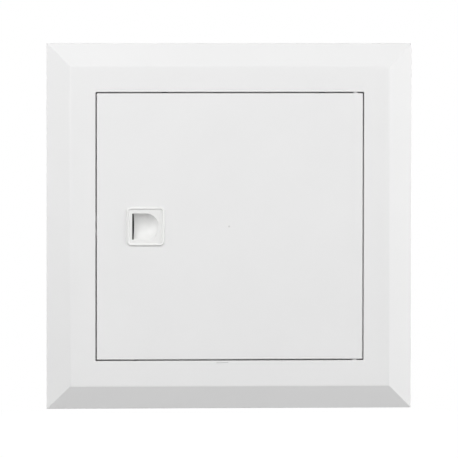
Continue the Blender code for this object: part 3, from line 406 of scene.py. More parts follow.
def spun(profile, steps, axis=(0, 1, 0)):
    """Spins (along, radius) pairs about an axis through the origin. Both ends lie on the axis, or
    the profile is a closed ring."""
    bm = bmesh.new()
    axis = Vector(axis)
    side = axis.orthogonal().normalized()
    spokes = [Matrix.Rotation(math.tau * step / steps, 3, axis) @ side for step in range(steps)]
    rings = []
    for along, radius in profile:
        if radius > MERGE:
            rings.append([bm.verts.new(axis * along + spoke * radius) for spoke in spokes])
        else:
            rings.append([bm.verts.new(axis * along)] * steps)
    closing = rings[:1] if profile[0][1] > MERGE else []
    lay_faces(bm, rings + closing)
    bmesh.ops.recalc_face_normals(bm, faces=bm.faces)
    return bm


def arc(centre, radius, start, end, steps):
    """Points on an arc, between two angles in degrees."""
    angles = [math.radians(start + (end - start) * step / steps) for step in range(steps + 1)]
    return [(centre[0] + radius * math.cos(a), centre[1] + radius * math.sin(a)) for a in angles]


# %% [markdown]
# Where a recess or a scoop is sunk into a solid, a Boolean is the tool that a machinist's cutter
# would be. It is applied at once, so that no cutter stays in the scene. Its exact solver numbers
# the points and faces in another order each time, so each result is numbered afresh. It also leaves
# split faces and stray points on straight edges, which are cleaned away. Blocks with rounded edges
# serve for the plain features.


# %% Carving helpers
def numbered(bm):
    """The same mesh with its points and faces numbered by their place."""
    places = {place: None for place in sorted(vert.co[:] for vert in bm.verts)}
    ranks = {place: rank for rank, place in enumerate(places)}
    loops = {}
    for face in bm.faces:
        loop = list(dict.fromkeys(ranks[vert.co[:]] for vert in face.verts))
        first = loop.index(min(loop))
        loops[tuple(sorted(loop))] = loop[first:] + loop[:first]
    fresh = bmesh.new()
    verts = [fresh.verts.new(place) for place in places]
    for loop in sorted(loops.values()):
        if len(loop) > 2:
            fresh.faces.new([verts[rank] for rank in loop])
    bm.free()
    return fresh


def carved(blank, *steps):
    """Joins a closed shape with others, or cuts them from it, in turn. The result is welded, and
    its flat faces are made whole."""
    for operation, other in steps:
        shapes = []
        for bm in (blank, other):
            mesh = bpy.data.meshes.new("carving")
            bm.to_mesh(mesh)
            bm.free()
            shapes.append(bpy.data.objects.new("carving", mesh))
            bpy.context.scene.collection.objects.link(shapes[-1])
        modifier = shapes[0].modifiers.new(operation, "BOOLEAN")
        modifier.operation = operation
        modifier.solver = "EXACT"
        modifier.object = shapes[1]
        result = bmesh.new()
        result.from_object(shapes[0], bpy.context.evaluated_depsgraph_get())
        for shape in shapes:
            bpy.data.objects.remove(shape, do_unlink=True)
        blank = numbered(result)
    bmesh.ops.remove_doubles(blank, verts=blank.verts, dist=5 * MERGE)
    make_flat_whole(blank)
    return blank


def block(x, y, z):
    """A box between two values on each axis."""
    bm = bmesh.new()
    bmesh.ops.create_cube(bm, size=1.0)
    bmesh.ops.scale(bm, vec=(x[1] - x[0], y[1] - y[0], z[1] - z[0]), verts=bm.verts)
    centre = ((x[0] + x[1]) / 2, (y[0] + y[1]) / 2, (z[0] + z[1]) / 2)
    bmesh.ops.translate(bm, vec=centre, verts=bm.verts)
    return bm


def soften(bm, radius):
    """Rounds every edge of a plain block."""
    bmesh.ops.bevel(
        bm, geom=bm.edges[:], offset=radius, segments=2, profile=0.5, affect="EDGES", material=-1
    )
    return bm


# %% [markdown]
# ## The finger cup
#
# A fingertip goes into a D-shaped scoop and pushes the square plate sideways. The plate has a soft
# rolled bead along its edge. Nothing in the photograph is as finely shaped, so the cup is modelled
# anew. The plate starts as one flat face with rounded corners, and the bead comes from insetting
# that face in small steps, each a little higher or lower, so that it rises and falls like a wave.

# %% Plate and bead of the cup
cup_low, cup_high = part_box("latch_cup")
CUP_X = (cup_low[0] + cup_high[0]) / 2
CUP_HALF = ((cup_high[0] - cup_low[0]) / 2, (cup_high[2] - cup_low[2]) / 2)
CUP_CORNER = 3.5 * MM
PLATE_BACK = DOOR_FACE - 0.08 * MM
PLATE_FRONT = DOOR_FACE - 0.45 * MM
BEAD_CREST = cup_low[1]
BEAD_OUTSIDE = 1.3 * MM  # the width of its outer slope
BEAD_INSIDE = 1.1 * MM
BEAD_FOOT = 0.07 * MM  # the straight edge under the bead
BEAD_STEPS = 8


def bead_steps():
    """(inset, rise) for each step over the bead, from its outer foot to the flat inside it."""
    rise = PLATE_BACK - BEAD_FOOT - BEAD_CREST
    fall = PLATE_FRONT - BEAD_CREST
    wave = [(1 - math.cos(math.pi * step / BEAD_STEPS)) / 2 for step in range(BEAD_STEPS + 1)]
    lifts = [high - low for low, high in zip(wave, wave[1:])]
    outside = [(BEAD_OUTSIDE / BEAD_STEPS, lift * rise) for lift in lifts]
    inside = [(BEAD_INSIDE / BEAD_STEPS, -lift * fall) for lift in lifts]
    return outside + inside


plate = bmesh.new()
bmesh.ops.create_grid(plate, x_segments=1, y_segments=1, size=1.0)
bmesh.ops.scale(plate, vec=(CUP_HALF[0], CUP_HALF[1], 1.0), verts=plate.verts)
bmesh.ops.rotate(plate, matrix=Matrix.Rotation(math.pi / 2, 3, "X"), verts=plate.verts)
bmesh.ops.translate(plate, vec=(CUP_X, PLATE_BACK, 0), verts=plate.verts)
bmesh.ops.bevel(
    plate,
    geom=plate.verts[:],
    offset=CUP_CORNER,
    segments=12,
    profile=0.5,
    affect="VERTICES",
    material=-1,
)
moved = bmesh.ops.extrude_face_region(plate, geom=plate.faces[:])["geom"]
front = next(item for item in moved if isinstance(item, bmesh.types.BMFace))
bmesh.ops.translate(plate, vec=(0, -BEAD_FOOT, 0), verts=front.verts[:])
bmesh.ops.recalc_face_normals(plate, faces=plate.faces)
for inset, rise in bead_steps():
    bmesh.ops.inset_region(plate, faces=[front], thickness=inset, depth=rise, use_even_offset=True)
print("the plate and its bead have", len(plate.faces), "faces")

# %% [markdown]
# ## The scoop and its slot
#
# The scoop is a rod with one round end, sunk into the plate. Its shell is the same shape, one wall
# larger, and stops short at the left, which leaves the dark slot. The shell's end is hollowed by
# the side of a much wider rod, so the slot is widest in its middle.

# %% Rods for the scoop
SCOOP_RADIUS = 9.795 * MM
SCOOP_WALL = 1.2 * MM
SCOOP_AXIS = DOOR_FACE + 5.5 * MM - SCOOP_RADIUS  # its place along Y
WINDOW_LEFT = CUP_X - 9.15 * MM
SLOT_WIDTH = 1.0 * MM
SLOT_SWELL = 0.6 * MM
SLOT_ROD_LENGTH = 20.0 * MM
SCOOP_STEPS = 96
SLOT_ROD_STEPS = 720  # it is far wider than the scoop, and as smooth


def finger_rod(radius, left):
    """A rod along X with a round right end."""
    dome = arc((0.0, 0.0), radius, 90.0, 0.0, SCOOP_STEPS // 4)
    profile = [(left - CUP_X, 0.0), (left - CUP_X, radius), *dome[:-1], (radius, 0.0)]
    bm = spun(profile, SCOOP_STEPS, (1, 0, 0))
    bmesh.ops.translate(bm, vec=(CUP_X, SCOOP_AXIS, 0), verts=bm.verts)
    return bm


def slot_hollow():
    """A wide, flat rod along Y, whose side hollows the shell's left end."""
    half = -(WINDOW_LEFT - CUP_X)
    radius = (half**2 + SLOT_SWELL**2) / (2 * SLOT_SWELL)
    bm = bmesh.new()
    bmesh.ops.create_cone(
        bm,
        cap_ends=True,
        segments=SLOT_ROD_STEPS,
        radius1=radius,
        radius2=radius,
        depth=SLOT_ROD_LENGTH,
    )
    bmesh.ops.rotate(bm, matrix=Matrix.Rotation(math.pi / 2, 3, "X"), verts=bm.verts)
    right = WINDOW_LEFT + SLOT_WIDTH + SLOT_SWELL
    centre = (right - radius, DOOR_FACE + SLOT_ROD_LENGTH / 2, 0)
    bmesh.ops.translate(bm, vec=centre, verts=bm.verts)
    return bm


# %% [markdown]
# ## Stems and hooks
#
# Behind the scoop two stems reach through the door and hook the bolt, so that cup and bolt slide as
# one. The hooks are sprung over it at assembly, which is why their backs slope.

# %% Stems and hooks
STEM_BACK = cup_high[1]
STEM_OUT = 10.1 * MM
STEM_WALL = 1.2 * MM
STEM_ROUND = 0.15 * MM
STEM_SPAN = (-65.05 * MM, -49.2 * MM)  # from left to right
HOOK_REACH = 1.2 * MM
HOOK_THICKNESS = 1.4 * MM
HOOK_SPAN = (-60.13 * MM, -54.13 * MM)
INTO_PLATE = 0.2 * MM


def stem(side):
    """One stem, from inside the plate to behind the bolt."""
    depth = (PLATE_BACK - INTO_PLATE, STEM_BACK)
    height = sorted((side * STEM_OUT, side * (STEM_OUT - STEM_WALL)))
    return soften(block(STEM_SPAN, depth, height), STEM_ROUND)


def hook(side):
    """A hook at the back of one stem, with a sloping back."""
    front = STEM_BACK - HOOK_THICKNESS
    height = (STEM_OUT - STEM_WALL / 2, STEM_OUT + HOOK_REACH)
    bm = soften(block(HOOK_SPAN, (front, STEM_BACK), height), STEM_ROUND)
    middle = (front + STEM_BACK) / 2
    tip = [v for v in bm.verts if v.co.z > STEM_OUT and v.co.y > middle]
    bmesh.ops.translate(bm, vec=(0, 0, -HOOK_REACH / 2), verts=tip)
    bmesh.ops.scale(bm, vec=(1, 1, side), verts=bm.verts)
    bmesh.ops.recalc_face_normals(bm, faces=bm.faces)
    return bm


# %% [markdown]
# ## Carving the cup
#
# The shell is cut flat where it meets the plate, and hollowed at its slot. Plate, shell, stems and
# hooks are then joined, and the finger's rod is taken out of them last, so that it cuts the window
# and the hollow of the scoop in one pass.

# %% Carving the cup
BEHIND_PLATE = ((-90 * MM, -30 * MM), (PLATE_BACK - INTO_PLATE, 20 * MM), (-30 * MM, 30 * MM))
shell = carved(
    finger_rod(SCOOP_RADIUS + SCOOP_WALL, WINDOW_LEFT + SLOT_WIDTH),
    ("INTERSECT", block(*BEHIND_PLATE)),
    ("DIFFERENCE", slot_hollow()),
)
cup_bm = carved(
    plate,
    ("UNION", shell),
    ("UNION", stem(1)),
    ("UNION", stem(-1)),
    ("UNION", hook(1)),
    ("UNION", hook(-1)),
    ("DIFFERENCE", finger_rod(SCOOP_RADIUS, WINDOW_LEFT)),
)
print("the carved cup has", len(cup_bm.faces), "faces")

# %% [markdown]
# ## The rim of the window
#
# A fingertip feels this edge, so it is rounded more than a tool would leave it. The carving leaves
# points of uneven spacing there. Those that crowd are made one, and those just under the rim are
# pulled up to it, which gives the rounding an even edge with room on both sides.

# %% Rim of the window
RIM_SPACING = 0.25 * MM  # points of the rim that lie closer than this become one
RIM_CLEAR = 0.3 * MM  # the scoop has no points so close under its rim
WINDOW_ROUND = 0.2 * MM


def on_window(vert):
    """Whether a point lies on the window's rim, in the plane of the plate."""
    reach = max(abs(vert.co.x - CUP_X), abs(vert.co.z))
    return abs(vert.co.y - PLATE_FRONT) < MERGE and reach < SCOOP_RADIUS


rim_points = [vert for vert in cup_bm.verts if on_window(vert)]
bmesh.ops.remove_doubles(cup_bm, verts=rim_points, dist=RIM_SPACING)
rim_points = [vert for vert in cup_bm.verts if on_window(vert)]
close_below = {}
for vert in cup_bm.verts:
    if MERGE < vert.co.y - PLATE_FRONT < RIM_CLEAR and abs(vert.co.z) < SCOOP_RADIUS:
        close_below[vert] = min(rim_points, key=lambda point: (point.co - vert.co).length)
bmesh.ops.weld_verts(cup_bm, targetmap=close_below)
make_flat_whole(cup_bm)
window_rim = [
    edge
    for edge in cup_bm.edges
    if all(on_window(vert) for vert in edge.verts) and edge.calc_face_angle(0.0) > SHARP_ANGLE
]
bmesh.ops.bevel(
    cup_bm,
    geom=window_rim,
    offset=WINDOW_ROUND,
    segments=4,
    profile=0.5,
    affect="EDGES",
    material=-1,
)
finger_cup = make_piece(cup_bm, "finger_cup", acetal, "latch", "acetal", "latch_cup")
keep_flat(finger_cup)
print("the window's rim had", len(window_rim), "edges")

# %% [markdown]
# ## The bolt, the hinge pins and the clamp arms
#
# These are small mouldings that the solids already shape well. They are merged copies with rounded
# edges, each in its own plastic.

# %% Small mouldings
bolt = make_piece(merged_copy("latch_bolt"), "bolt_moulding", acetal, "latch", "acetal", "latch_bolt")
round_edges(bolt, 0.2 * MM)
for side in ("top", "bottom"):
    node = f"hinge_pin_{side}"
    pin = make_piece(merged_copy(node), f"pin_moulding_{side}", acetal, "door", "acetal", node)
    round_edges(pin, 0.15 * MM)
for number in (1, 2, 3, 4):
    node = f"clamp_arm_{number}"
    arm = make_piece(merged_copy(node), f"arm_moulding_{number}", nylon, f"arm_{number}", "nylon", node)
    round_edges(arm, 0.3 * MM)

# %% [markdown]
# ## The keeper
#
# A press cuts the keeper from sheet and bends it once. The cut leaves a fine edge, broken by about a
# tenth of the sheet's thickness, so its edges are rounded only that much.

# %% Keeper
# the keeper's black paints the shade seen through the cup's slot
keeper = make_piece(
    merged_copy("bolt_keeper"), "keeper_plate", black_steel, "door", "black_steel", "bolt_keeper"
)
round_edges(keeper, 0.1 * MM)

# %% [markdown]
# ## Screws
#
# A pan head is spun from a section with a round shoulder. The cross recess tapers, so its cutter is
# a cross-shaped face, extruded and made smaller at its far end. The cross comes from a grid of nine
# squares without its four corners.

# %% Pan heads
OVERRUN = 0.5 * MM  # how far the cutter starts in front of the head
HEAD_STEPS = 64
EDGE_BREAK = 0.1 * MM  # under the head's edge
NECK_ROUND = 0.2 * MM  # where the shank meets the head


def cross_cutter(span, slot, depth):
    """A cross along +Y that narrows towards its tip."""
    bm = bmesh.new()
    bmesh.ops.create_grid(bm, x_segments=3, y_segments=3, size=1.0)
    bmesh.ops.rotate(bm, matrix=Matrix.Rotation(math.pi / 2, 3, "X"), verts=bm.verts)
    middles = {face: face.calc_center_median() for face in bm.faces}
    corners = [face for face, middle in middles.items() if min(abs(middle.x), abs(middle.z)) > 0.5]
    bmesh.ops.delete(bm, geom=corners, context="FACES")
    for vert in bm.verts:
        vert.co.x = math.copysign(span if abs(vert.co.x) > 0.9 else slot, vert.co.x)
        vert.co.z = math.copysign(span if abs(vert.co.z) > 0.9 else slot, vert.co.z)
    bmesh.ops.translate(bm, vec=(0, -OVERRUN, 0), verts=bm.verts)
    moved = bmesh.ops.extrude_face_region(bm, geom=bm.faces[:])["geom"]
    far = [item for item in moved if isinstance(item, bmesh.types.BMVert)]
    bmesh.ops.translate(bm, vec=(0, depth + OVERRUN, 0), verts=far)
    bmesh.ops.scale(bm, vec=(0.5, 1, 0.5), verts=far)
    bmesh.ops.recalc_face_normals(bm, faces=bm.faces)
    return bm


def pan_head_screw(head_radius, head, core_radius, length, tip):
    """A plain screw along +Y from the crown of its head, with a cross recess."""
    shoulder = head * 0.6
    crown = arc((shoulder, head_radius - shoulder), shoulder, 180.0, 90.0, 8)
    profile = [
        (0.0, 0.0),
        *crown,
        (head - EDGE_BREAK, head_radius),
        (head, head_radius - EDGE_BREAK),
        (head, core_radius + NECK_ROUND),
        (head + NECK_ROUND, core_radius),
        (head + length - tip, core_radius),
        (head + length, core_radius - tip),
        (head + length, 0.0),
    ]
    recess = cross_cutter(head_radius * 0.52, head_radius * 0.12, head * 0.7)
    return carved(spun(profile, HEAD_STEPS), ("DIFFERENCE", recess))


# %% [markdown]
# The M4 thread is one closed ridge, spun round the core with a small step along the axis at each
# turn, which is how a lathe cuts it. It overlaps the core a little, so no Boolean is needed. Each
# turned piece then gets the attribute that the lathe's rings read.

# %% Thread and turned marks
THREAD_PITCH = 0.7 * MM
THREAD_STEPS = 24  # in a turn
ROOT_SHARE = 0.44  # half the ridge's foot, in pitches
CREST_SHARE = 0.07


def thread_ridge(start, end, root, crest):
    """A closed ridge that winds round the Y axis."""
    bm = bmesh.new()
    half_root = THREAD_PITCH * ROOT_SHARE
    half_crest = THREAD_PITCH * CREST_SHARE
    section = [(-half_root, root), (-half_crest, crest), (half_crest, crest), (half_root, root)]
    turns = round((end - start) / THREAD_PITCH)
    rings = []
    for step in range(THREAD_STEPS * turns + 1):
        turned = Matrix.Rotation(math.tau * step / THREAD_STEPS, 3, "Y")
        foot = start + THREAD_PITCH * step / THREAD_STEPS
        rings.append([bm.verts.new(turned @ Vector((r, foot + along, 0))) for along, r in section])
    lay_faces(bm, rings)
    bm.faces.new(rings[0])
    bm.faces.new(rings[-1])
    bmesh.ops.recalc_face_normals(bm, faces=bm.faces)
    return bm


def add_shape(bm, other):
    """Adds a second closed shape to a bmesh."""
    mesh = bpy.data.meshes.new("part")
    other.to_mesh(mesh)
    other.free()
    bm.from_mesh(mesh)
    bpy.data.meshes.remove(mesh)


def mark_turned(bm):
    """Writes each point's distance from the Y axis and its place along it, for the lathe's rings."""
    layer = bm.verts.layers.float_vector.new("turned")
    for vert in bm.verts:
        x, y, z = vert.co
        vert[layer] = (math.hypot(x, z), y, math.atan2(z, x) * AROUND_SCALE * MM)


def axis_place(node):
    """Where a turned CAD node stands: its axis runs along Y through the middle of its box."""
    low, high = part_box(node)
    return Vector(((low[0] + high[0]) / 2, low[1], (low[2] + high[2]) / 2))


# %% [markdown]
# ## Clamp screws and keeper screws
#
# The four clamp screws point into the ceiling, with the thread that their inserts run on. The upper
# pair and the lower pair are turned half round to each other. The two keeper screws point the other
# way and are driven home, so their thread is hidden in the door's bosses and isn't cut.

# %% Screws
CORE_RADIUS = 1.62 * MM
CREST_RADIUS = 2.0 * MM
THREAD_SUNK = 0.1 * MM  # the ridge starts this far inside the core
THREAD_START = 6.0 * MM
CLAMP_HEAD = (3.75 * MM, 2.7 * MM)  # its radius and its height
clamp_low, clamp_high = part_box("clamp_screw_1")
clamp_length = clamp_high[1] - clamp_low[1]
for number in (1, 2, 3, 4):
    node = f"clamp_screw_{number}"
    screw = pan_head_screw(*CLAMP_HEAD, CORE_RADIUS, clamp_length - CLAMP_HEAD[1], 0.5 * MM)
    thread_end = clamp_length - THREAD_PITCH
    root = CORE_RADIUS - THREAD_SUNK
    add_shape(screw, thread_ridge(THREAD_START, thread_end, root, CREST_RADIUS))
    mark_turned(screw)
    if number > 2:
        bmesh.ops.rotate(screw, matrix=Matrix.Rotation(math.pi, 3, "Y"), verts=screw.verts)
    bmesh.ops.translate(screw, vec=axis_place(node), verts=screw.verts)
    make_piece(screw, f"threaded_screw_{number}", zinc_steel, f"screw_{number}", "zinc_steel", node)

KEEPER_HEAD = (2.5 * MM, 1.6 * MM)
KEEPER_SHANK = 1.25 * MM
for number in (1, 2):
    node = f"keeper_screw_{number}"
    low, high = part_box(node)
    shank_length = high[1] - low[1] - KEEPER_HEAD[1]
    screw = pan_head_screw(*KEEPER_HEAD, KEEPER_SHANK, shank_length, 0.3 * MM)
    mark_turned(screw)
    bmesh.ops.rotate(screw, matrix=Matrix.Rotation(math.pi, 3, "Z"), verts=screw.verts)
    place = axis_place(node)
    bmesh.ops.translate(screw, vec=(place.x, high[1], place.z), verts=screw.verts)
    make_piece(screw, f"pan_head_screw_{number}", zinc_steel, "door", "zinc_steel", node)

# %% [markdown]
# ## Brass inserts
#
# Each insert is turned from bar: a sleeve with a flange, every edge broken by a small chamfer so
# that it doesn't cut the nylon arm that swings on it. One closed section is spun round the axis.

# %% Inserts
CHAMFER = 0.2 * MM
BORE = 2.3 * MM
SLEEVE = 3.25 * MM
FLANGE = 4.5 * MM
FLANGE_THICKNESS = 0.8 * MM
for number in (1, 2, 3, 4):
    node = f"clamp_insert_{number}"
    low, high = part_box(node)
    length = high[1] - low[1]
    section = [
        (0.0, BORE + CHAMFER),
        (CHAMFER, BORE),
        (length - CHAMFER, BORE),
        (length, BORE + CHAMFER),
        (length, FLANGE - CHAMFER),
        (length - CHAMFER, FLANGE),
        (length - FLANGE_THICKNESS + CHAMFER, FLANGE),
        (length - FLANGE_THICKNESS, FLANGE - CHAMFER),
        (length - FLANGE_THICKNESS, SLEEVE),
        (CHAMFER, SLEEVE),
        (0.0, SLEEVE - CHAMFER),
    ]
    insert = spun(section, 64)
    mark_turned(insert)
    bmesh.ops.translate(insert, vec=axis_place(node), verts=insert.verts)
    make_piece(insert, f"turned_insert_{number}", brass, f"insert_{number}", "brass", node)

# %% [markdown]
# ## The latch spring
#
# A coil is a small circle, carried round the spring's axis with a step along it. The first and last
# turns are closed, so they step less. The spring stands between the bolt and a post of the door, and
# is squeezed towards the post as the cup slides. Here it is one fixed coil that rides on the door.

# %% Spring
spring_low, spring_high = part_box("latch_spring")
WIRE_RADIUS = 0.225 * MM
COIL_RADIUS = 1.575 * MM
COIL_TURNS = 6
COIL_STEPS = 36  # in a turn
WIRE_SIDES = 12
CLOSED_SHARE = 0.25  # of a full pitch, in the closed turns
coil_length = spring_high[0] - spring_low[0] - 2 * WIRE_RADIUS
pitch = coil_length / (COIL_TURNS - 2 + 2 * CLOSED_SHARE)
coil_y = (spring_low[1] + spring_high[1]) / 2
coil = bmesh.new()
circle = [math.tau * step / WIRE_SIDES for step in range(WIRE_SIDES)]
circle = [Vector((math.cos(a), math.sin(a), 0)) * WIRE_RADIUS for a in circle]
along = spring_low[0] + WIRE_RADIUS
rings = [[coil.verts.new(Vector((along, coil_y + COIL_RADIUS, 0)) + point) for point in circle]]
for turns, share in ((1, CLOSED_SHARE), (COIL_TURNS - 2, 1.0), (1, CLOSED_SHARE)):
    for _ in range(COIL_STEPS * turns):
        along += pitch * share / COIL_STEPS
        turned = Matrix.Rotation(math.tau * len(rings) / COIL_STEPS, 3, "X")
        place = Vector((along, coil_y, 0))
        beside = [Vector((0, COIL_RADIUS, 0)) + point for point in circle]
        rings.append([coil.verts.new(place + turned @ point) for point in beside])
lay_faces(coil, rings)
coil.faces.new(rings[0])
coil.faces.new(rings[-1])
bmesh.ops.recalc_face_normals(coil, faces=coil.faces)
layer = coil.verts.layers.float_vector.new("turned")
for vert in coil.verts:
    vert[layer] = (math.hypot(vert.co.y - coil_y, vert.co.z), vert.co.x, 0.0)
spring = make_piece(coil, "coiled_spring", spring_steel, "door", "spring_steel", "latch_spring")
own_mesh(spring)

# %% [markdown]
# ## Ejector discs
#
# Pins push a moulding out of its tool, and each leaves a flat disc, a hair proud, on the hidden
# side. They could be inset in the tray's floor, but closed discs that are sunk a little into it
# look the same and leave the floor whole.

# %% Ejector discs
EJECTOR_RADIUS = 3.0 * MM
EJECTOR_PROUD = 0.12 * MM
SUNK = 0.2 * MM
TRAY_FLOOR = DOOR_FACE + 2.4 * MM
beside_ribs = [(x, z) for x in (-38, 38) for z in (-74, -38, 38, 74)]  # mm: across and up
ejectors = beside_ribs + [(0, 74), (0, -74), (72, 30), (72, -30)]


def add_disc(bm, radius, y, x, z, steps):
    """A disc that faces along Y, between two values of Y."""
    disc = bmesh.ops.create_cone(
        bm, cap_ends=True, segments=steps, radius1=radius, radius2=radius, depth=y[1] - y[0]
    )["verts"]
    bmesh.ops.rotate(bm, matrix=Matrix.Rotation(math.pi / 2, 3, "X"), verts=disc)
    bmesh.ops.translate(bm, vec=(x, sum(y) / 2, z), verts=disc)


discs = bmesh.new()
for x, z in ejectors:
    height = (TRAY_FLOOR - SUNK, TRAY_FLOOR + EJECTOR_PROUD)
    add_disc(discs, EJECTOR_RADIUS, height, x * MM, z * MM, 48)
ejector_marks = make_piece(discs, "door_ejector_marks", moulded_abs, "door", "door_abs")
round_edges(ejector_marks, 0.04 * MM)

# %% [markdown]
# ## Gate marks
#
# Plastic enters a tool through a gate. The frame's was at the lower edge of its opening, and the
# trimmed stub shows as a short faint ridge. The door was filled through a point at its middle, and
# the torn end lies in a dimple there. A cut end has no moulded skin, so it is rougher. Both marks are
# coloured a darker grey, which is painted shade: under the stub's lower edge and in the dimple's
# middle.

# %% Gate marks
# a rough moulding whose darker grey is painted shade on the gate marks
cut_abs_painted_shade = moulded_plastic(
    "cut_abs_painted_shade", "#C6C6C6", "#D6D6D6", (0.6, 0.8), 0.03 * MM, 1.54, cloud_size=1.0 * MM
)
STUB = ((-9.1, -0.9), (-0.45, 0.25), (-93.45, -92.85))  # mm: across, through the face, up
STUB_MIDDLE = -5.0 * MM
STUB_FALL = 0.4 * MM  # its right end is this much lower
stub = block(*[(a * MM, b * MM) for a, b in STUB])
bmesh.ops.translate(stub, vec=(0, DOOR_FACE, 0), verts=stub.verts)
low_end = [v for v in stub.verts if v.co.x > STUB_MIDDLE and v.co.y < DOOR_FACE]
bmesh.ops.translate(stub, vec=(0, STUB_FALL, 0), verts=low_end)
# the stub's grey paints the shade along its lower edge
gate_stub = make_piece(stub, "frame_gate_stub", cut_abs_painted_shade, "frame", "frame_abs")
round_edges(gate_stub, 0.12 * MM, 3)

GATE_MARK_RADIUS = 0.65 * MM
GATE_MARK_X = -0.5 * MM  # it lies a little left of the dimple's middle
GATE_MARK = (DOOR_FACE + 0.03 * MM, DOOR_FACE + 0.4 * MM)  # it stays inside the dimple
torn_end = bmesh.new()
add_disc(torn_end, GATE_MARK_RADIUS, GATE_MARK, GATE_MARK_X, 0, 32)
# the grey disc paints the shade in the middle of the dimple
gate_mark = make_piece(torn_end, "door_gate_mark", cut_abs_painted_shade, "door", "door_abs")
round_edges(gate_mark, 0.04 * MM)

# %% [markdown]
# ## The stage
#
# The photograph has a pure white ground. A floor lies far below, so that no shadow of the panel
# falls in the picture. It is one large plane, and it doesn't belong to the object.

# %% Floor
FLOOR_Z = -0.62
FLOOR_HALF = 6.0
bm = bmesh.new()
bmesh.ops.create_grid(bm, x_segments=1, y_segments=1, size=FLOOR_HALF)
bmesh.ops.translate(bm, vec=(0, 0, FLOOR_Z), verts=bm.verts)
floor_mesh = bpy.data.meshes.new("studio_floor")
bm.to_mesh(floor_mesh)
bm.free()
floor = bpy.data.objects.new("studio_floor", floor_mesh)
bpy.context.scene.collection.objects.link(floor)
print("the floor lies", FLOOR_Z, "m below the middle of the panel")

# %% [markdown]
# The floor looks white by itself and is grey to the light, so that it throws little light up at the
# panel. The Light Path node tells the two apart. From underneath the floor is clear, so that the
# panel can be looked at from below.

# %% Paint of the floor
WHITE = (1.0, 1.0, 1.0, 1.0)


def seen_directly(tree):
    """1 for rays that come from the camera, a gloss or a clear material, and 0 for light."""
    path = add_node(tree, "ShaderNodeLightPath")
    both = add_node(
        tree,
        "ShaderNodeMath",
        {0: path.outputs["Is Camera Ray"], 1: path.outputs["Is Glossy Ray"]},
        operation="MAXIMUM",
    )
    return add_node(
        tree,
        "ShaderNodeMath",
        {0: both.outputs[0], 1: path.outputs["Is Transmission Ray"]},
        operation="MAXIMUM",
    ).outputs[0]


def mix_shaders(tree, factor, first, second):
    """The first shader where the factor is 0, and the second where it is 1."""
    sockets = {0: factor, 1: first.outputs[0], 2: second.outputs[0]}
    return add_node(tree, "ShaderNodeMixShader", sockets)


floor_paint = bpy.data.materials.new("studio_floor_paint")
floor_paint.use_nodes = True
tree = floor_paint.node_tree
tree.nodes.clear()
diffuse = add_node(tree, "ShaderNodeBsdfDiffuse", {"Color": linear("#808080")})
glow = add_node(tree, "ShaderNodeEmission", {"Color": WHITE, "Strength": 1.0})
lit = add_node(tree, "ShaderNodeAddShader", {0: diffuse.outputs[0], 1: glow.outputs[0]})
top = mix_shaders(tree, seen_directly(tree), diffuse, lit)
clear = add_node(tree, "ShaderNodeBsdfTransparent")
under = add_node(tree, "ShaderNodeNewGeometry").outputs["Backfacing"]
both_sides = mix_shaders(tree, under, top, clear)
add_node(tree, "ShaderNodeOutputMaterial", {"Surface": both_sides.outputs[0]})
floor_mesh.materials.append(floor_paint)
print("made", floor_paint.name)

# %% [markdown]
# The world is white to the camera too. To the panel it gives only a soft fill, stronger from above,
# as in a room with a pale ceiling.

# %% World
SKY_FILL = 0.05
GROUND_FILL = 0.03
world = bpy.data.worlds.new("studio_world")
bpy.context.scene.world = world
world.use_nodes = True
tree = world.node_tree
tree.nodes.clear()
around = add_node(tree, "ShaderNodeTexCoord").outputs["Generated"]
direction = add_node(tree, "ShaderNodeSeparateXYZ", {"Vector": around})
fill = add_node(
    tree,
    "ShaderNodeMapRange",
    {
        "Value": direction.outputs["Z"],
        "From Min": -0.5,
        "From Max": 0.5,
        "To Min": GROUND_FILL,
        "To Max": SKY_FILL,
    },
)
soft = add_node(
    tree, "ShaderNodeBackground", {"Color": WHITE, "Strength": fill.outputs["Result"]}
)
white = add_node(tree, "ShaderNodeBackground", {"Color": WHITE, "Strength": 1.0})
mixed = mix_shaders(tree, seen_directly(tree), soft, white)
add_node(tree, "ShaderNodeOutputWorld", {"Surface": mixed.outputs[0]})
print("made", world.name)

# %% [markdown]
# ## Lamps
#
# Every face of the photographed panel is nearly the same white. Only the sloping border tells where
# the light comes from: its top and right sides are the lightest and its bottom side the darkest.
# So a large soft lamp stands high at the front left, another low at the right, and weaker ones fill
# in. Their powers come from renders with one lamp at a time, set against the photographed tones.
# Two more light the back, which a photograph from the front never shows.


# %% Lamps
LAMP_DISTANCE = 1.6
LAMP_SIZE = 1.2


def direction_to(azimuth, elevation):
    """A unit vector, in degrees. Azimuth 0 is in front, and 90 is at the panel's right."""
    a = math.radians(azimuth)
    e = math.radians(elevation)
    return Vector((math.sin(a) * math.cos(e), -math.cos(a) * math.cos(e), math.sin(e)))


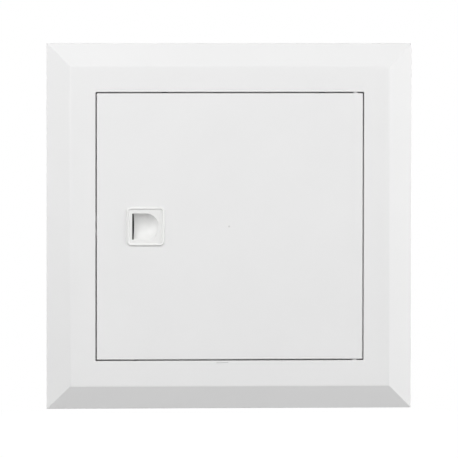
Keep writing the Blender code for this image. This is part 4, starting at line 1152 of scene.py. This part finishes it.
def softbox(name, azimuth, elevation, power):
    """A square lamp that looks at the panel."""
    lamp = bpy.data.lights.new(name, "AREA")
    lamp.shape = "SQUARE"
    lamp.size = LAMP_SIZE
    lamp.energy = power
    away = direction_to(azimuth, elevation)
    box = bpy.data.objects.new(name, lamp)
    box.location = away * LAMP_DISTANCE
    box.rotation_euler = (-away).to_track_quat("-Z", "Y").to_euler()
    bpy.context.scene.collection.objects.link(box)
    print(name, "gives", power, "W")
    return box


softbox("lamp_front_left", -35, 30, 17.1)
softbox("lamp_front_right", 35, 30, 3.1)
softbox("lamp_front", 0, 5, 1.9)
softbox("lamp_right", 62, 8, 16.2)
softbox("lamp_left", -62, 8, 5.7)
softbox("lamp_back_left", -140, 35, 15.0)
softbox("lamp_back_right", 135, 12, 12.0)

# %% [markdown]
# ## Camera
#
# The outline of the panel is a true rectangle in the photograph, and the door shows a little lower
# and to the right. So the camera stands far off, a few degrees above and to the left. The angles
# were fitted to the corners of the outline, of the door's gap and of the mitred border.

# %% Camera
CAMERA_DISTANCE = 4.0
CAMERA_AZIMUTH = -3.89  # degrees, to the left
CAMERA_ELEVATION = 2.87
CAMERA_ROLL = 0.07
SENSOR = 36.0
PICTURE_WIDTH = 313.6 * MM  # what the photograph spans, at the panel
AIM = Vector((-0.07 * MM, 0, -2.15 * MM))
camera_data = bpy.data.cameras.new("camera")
camera = bpy.data.objects.new("camera", camera_data)
bpy.context.scene.collection.objects.link(camera)
camera_data.sensor_width = SENSOR
camera_data.lens = SENSOR * CAMERA_DISTANCE / PICTURE_WIDTH
away = direction_to(CAMERA_AZIMUTH, CAMERA_ELEVATION)
roll = Matrix.Rotation(math.radians(CAMERA_ROLL), 3, "Z")
turn = (-away).to_track_quat("-Z", "Y").to_matrix() @ roll
camera.location = AIM + away * CAMERA_DISTANCE
camera.rotation_euler = turn.to_euler()
bpy.context.scene.camera = camera
bpy.context.scene.view_settings.view_transform = "Standard"
print("lens", round(camera_data.lens, 1), "mm")
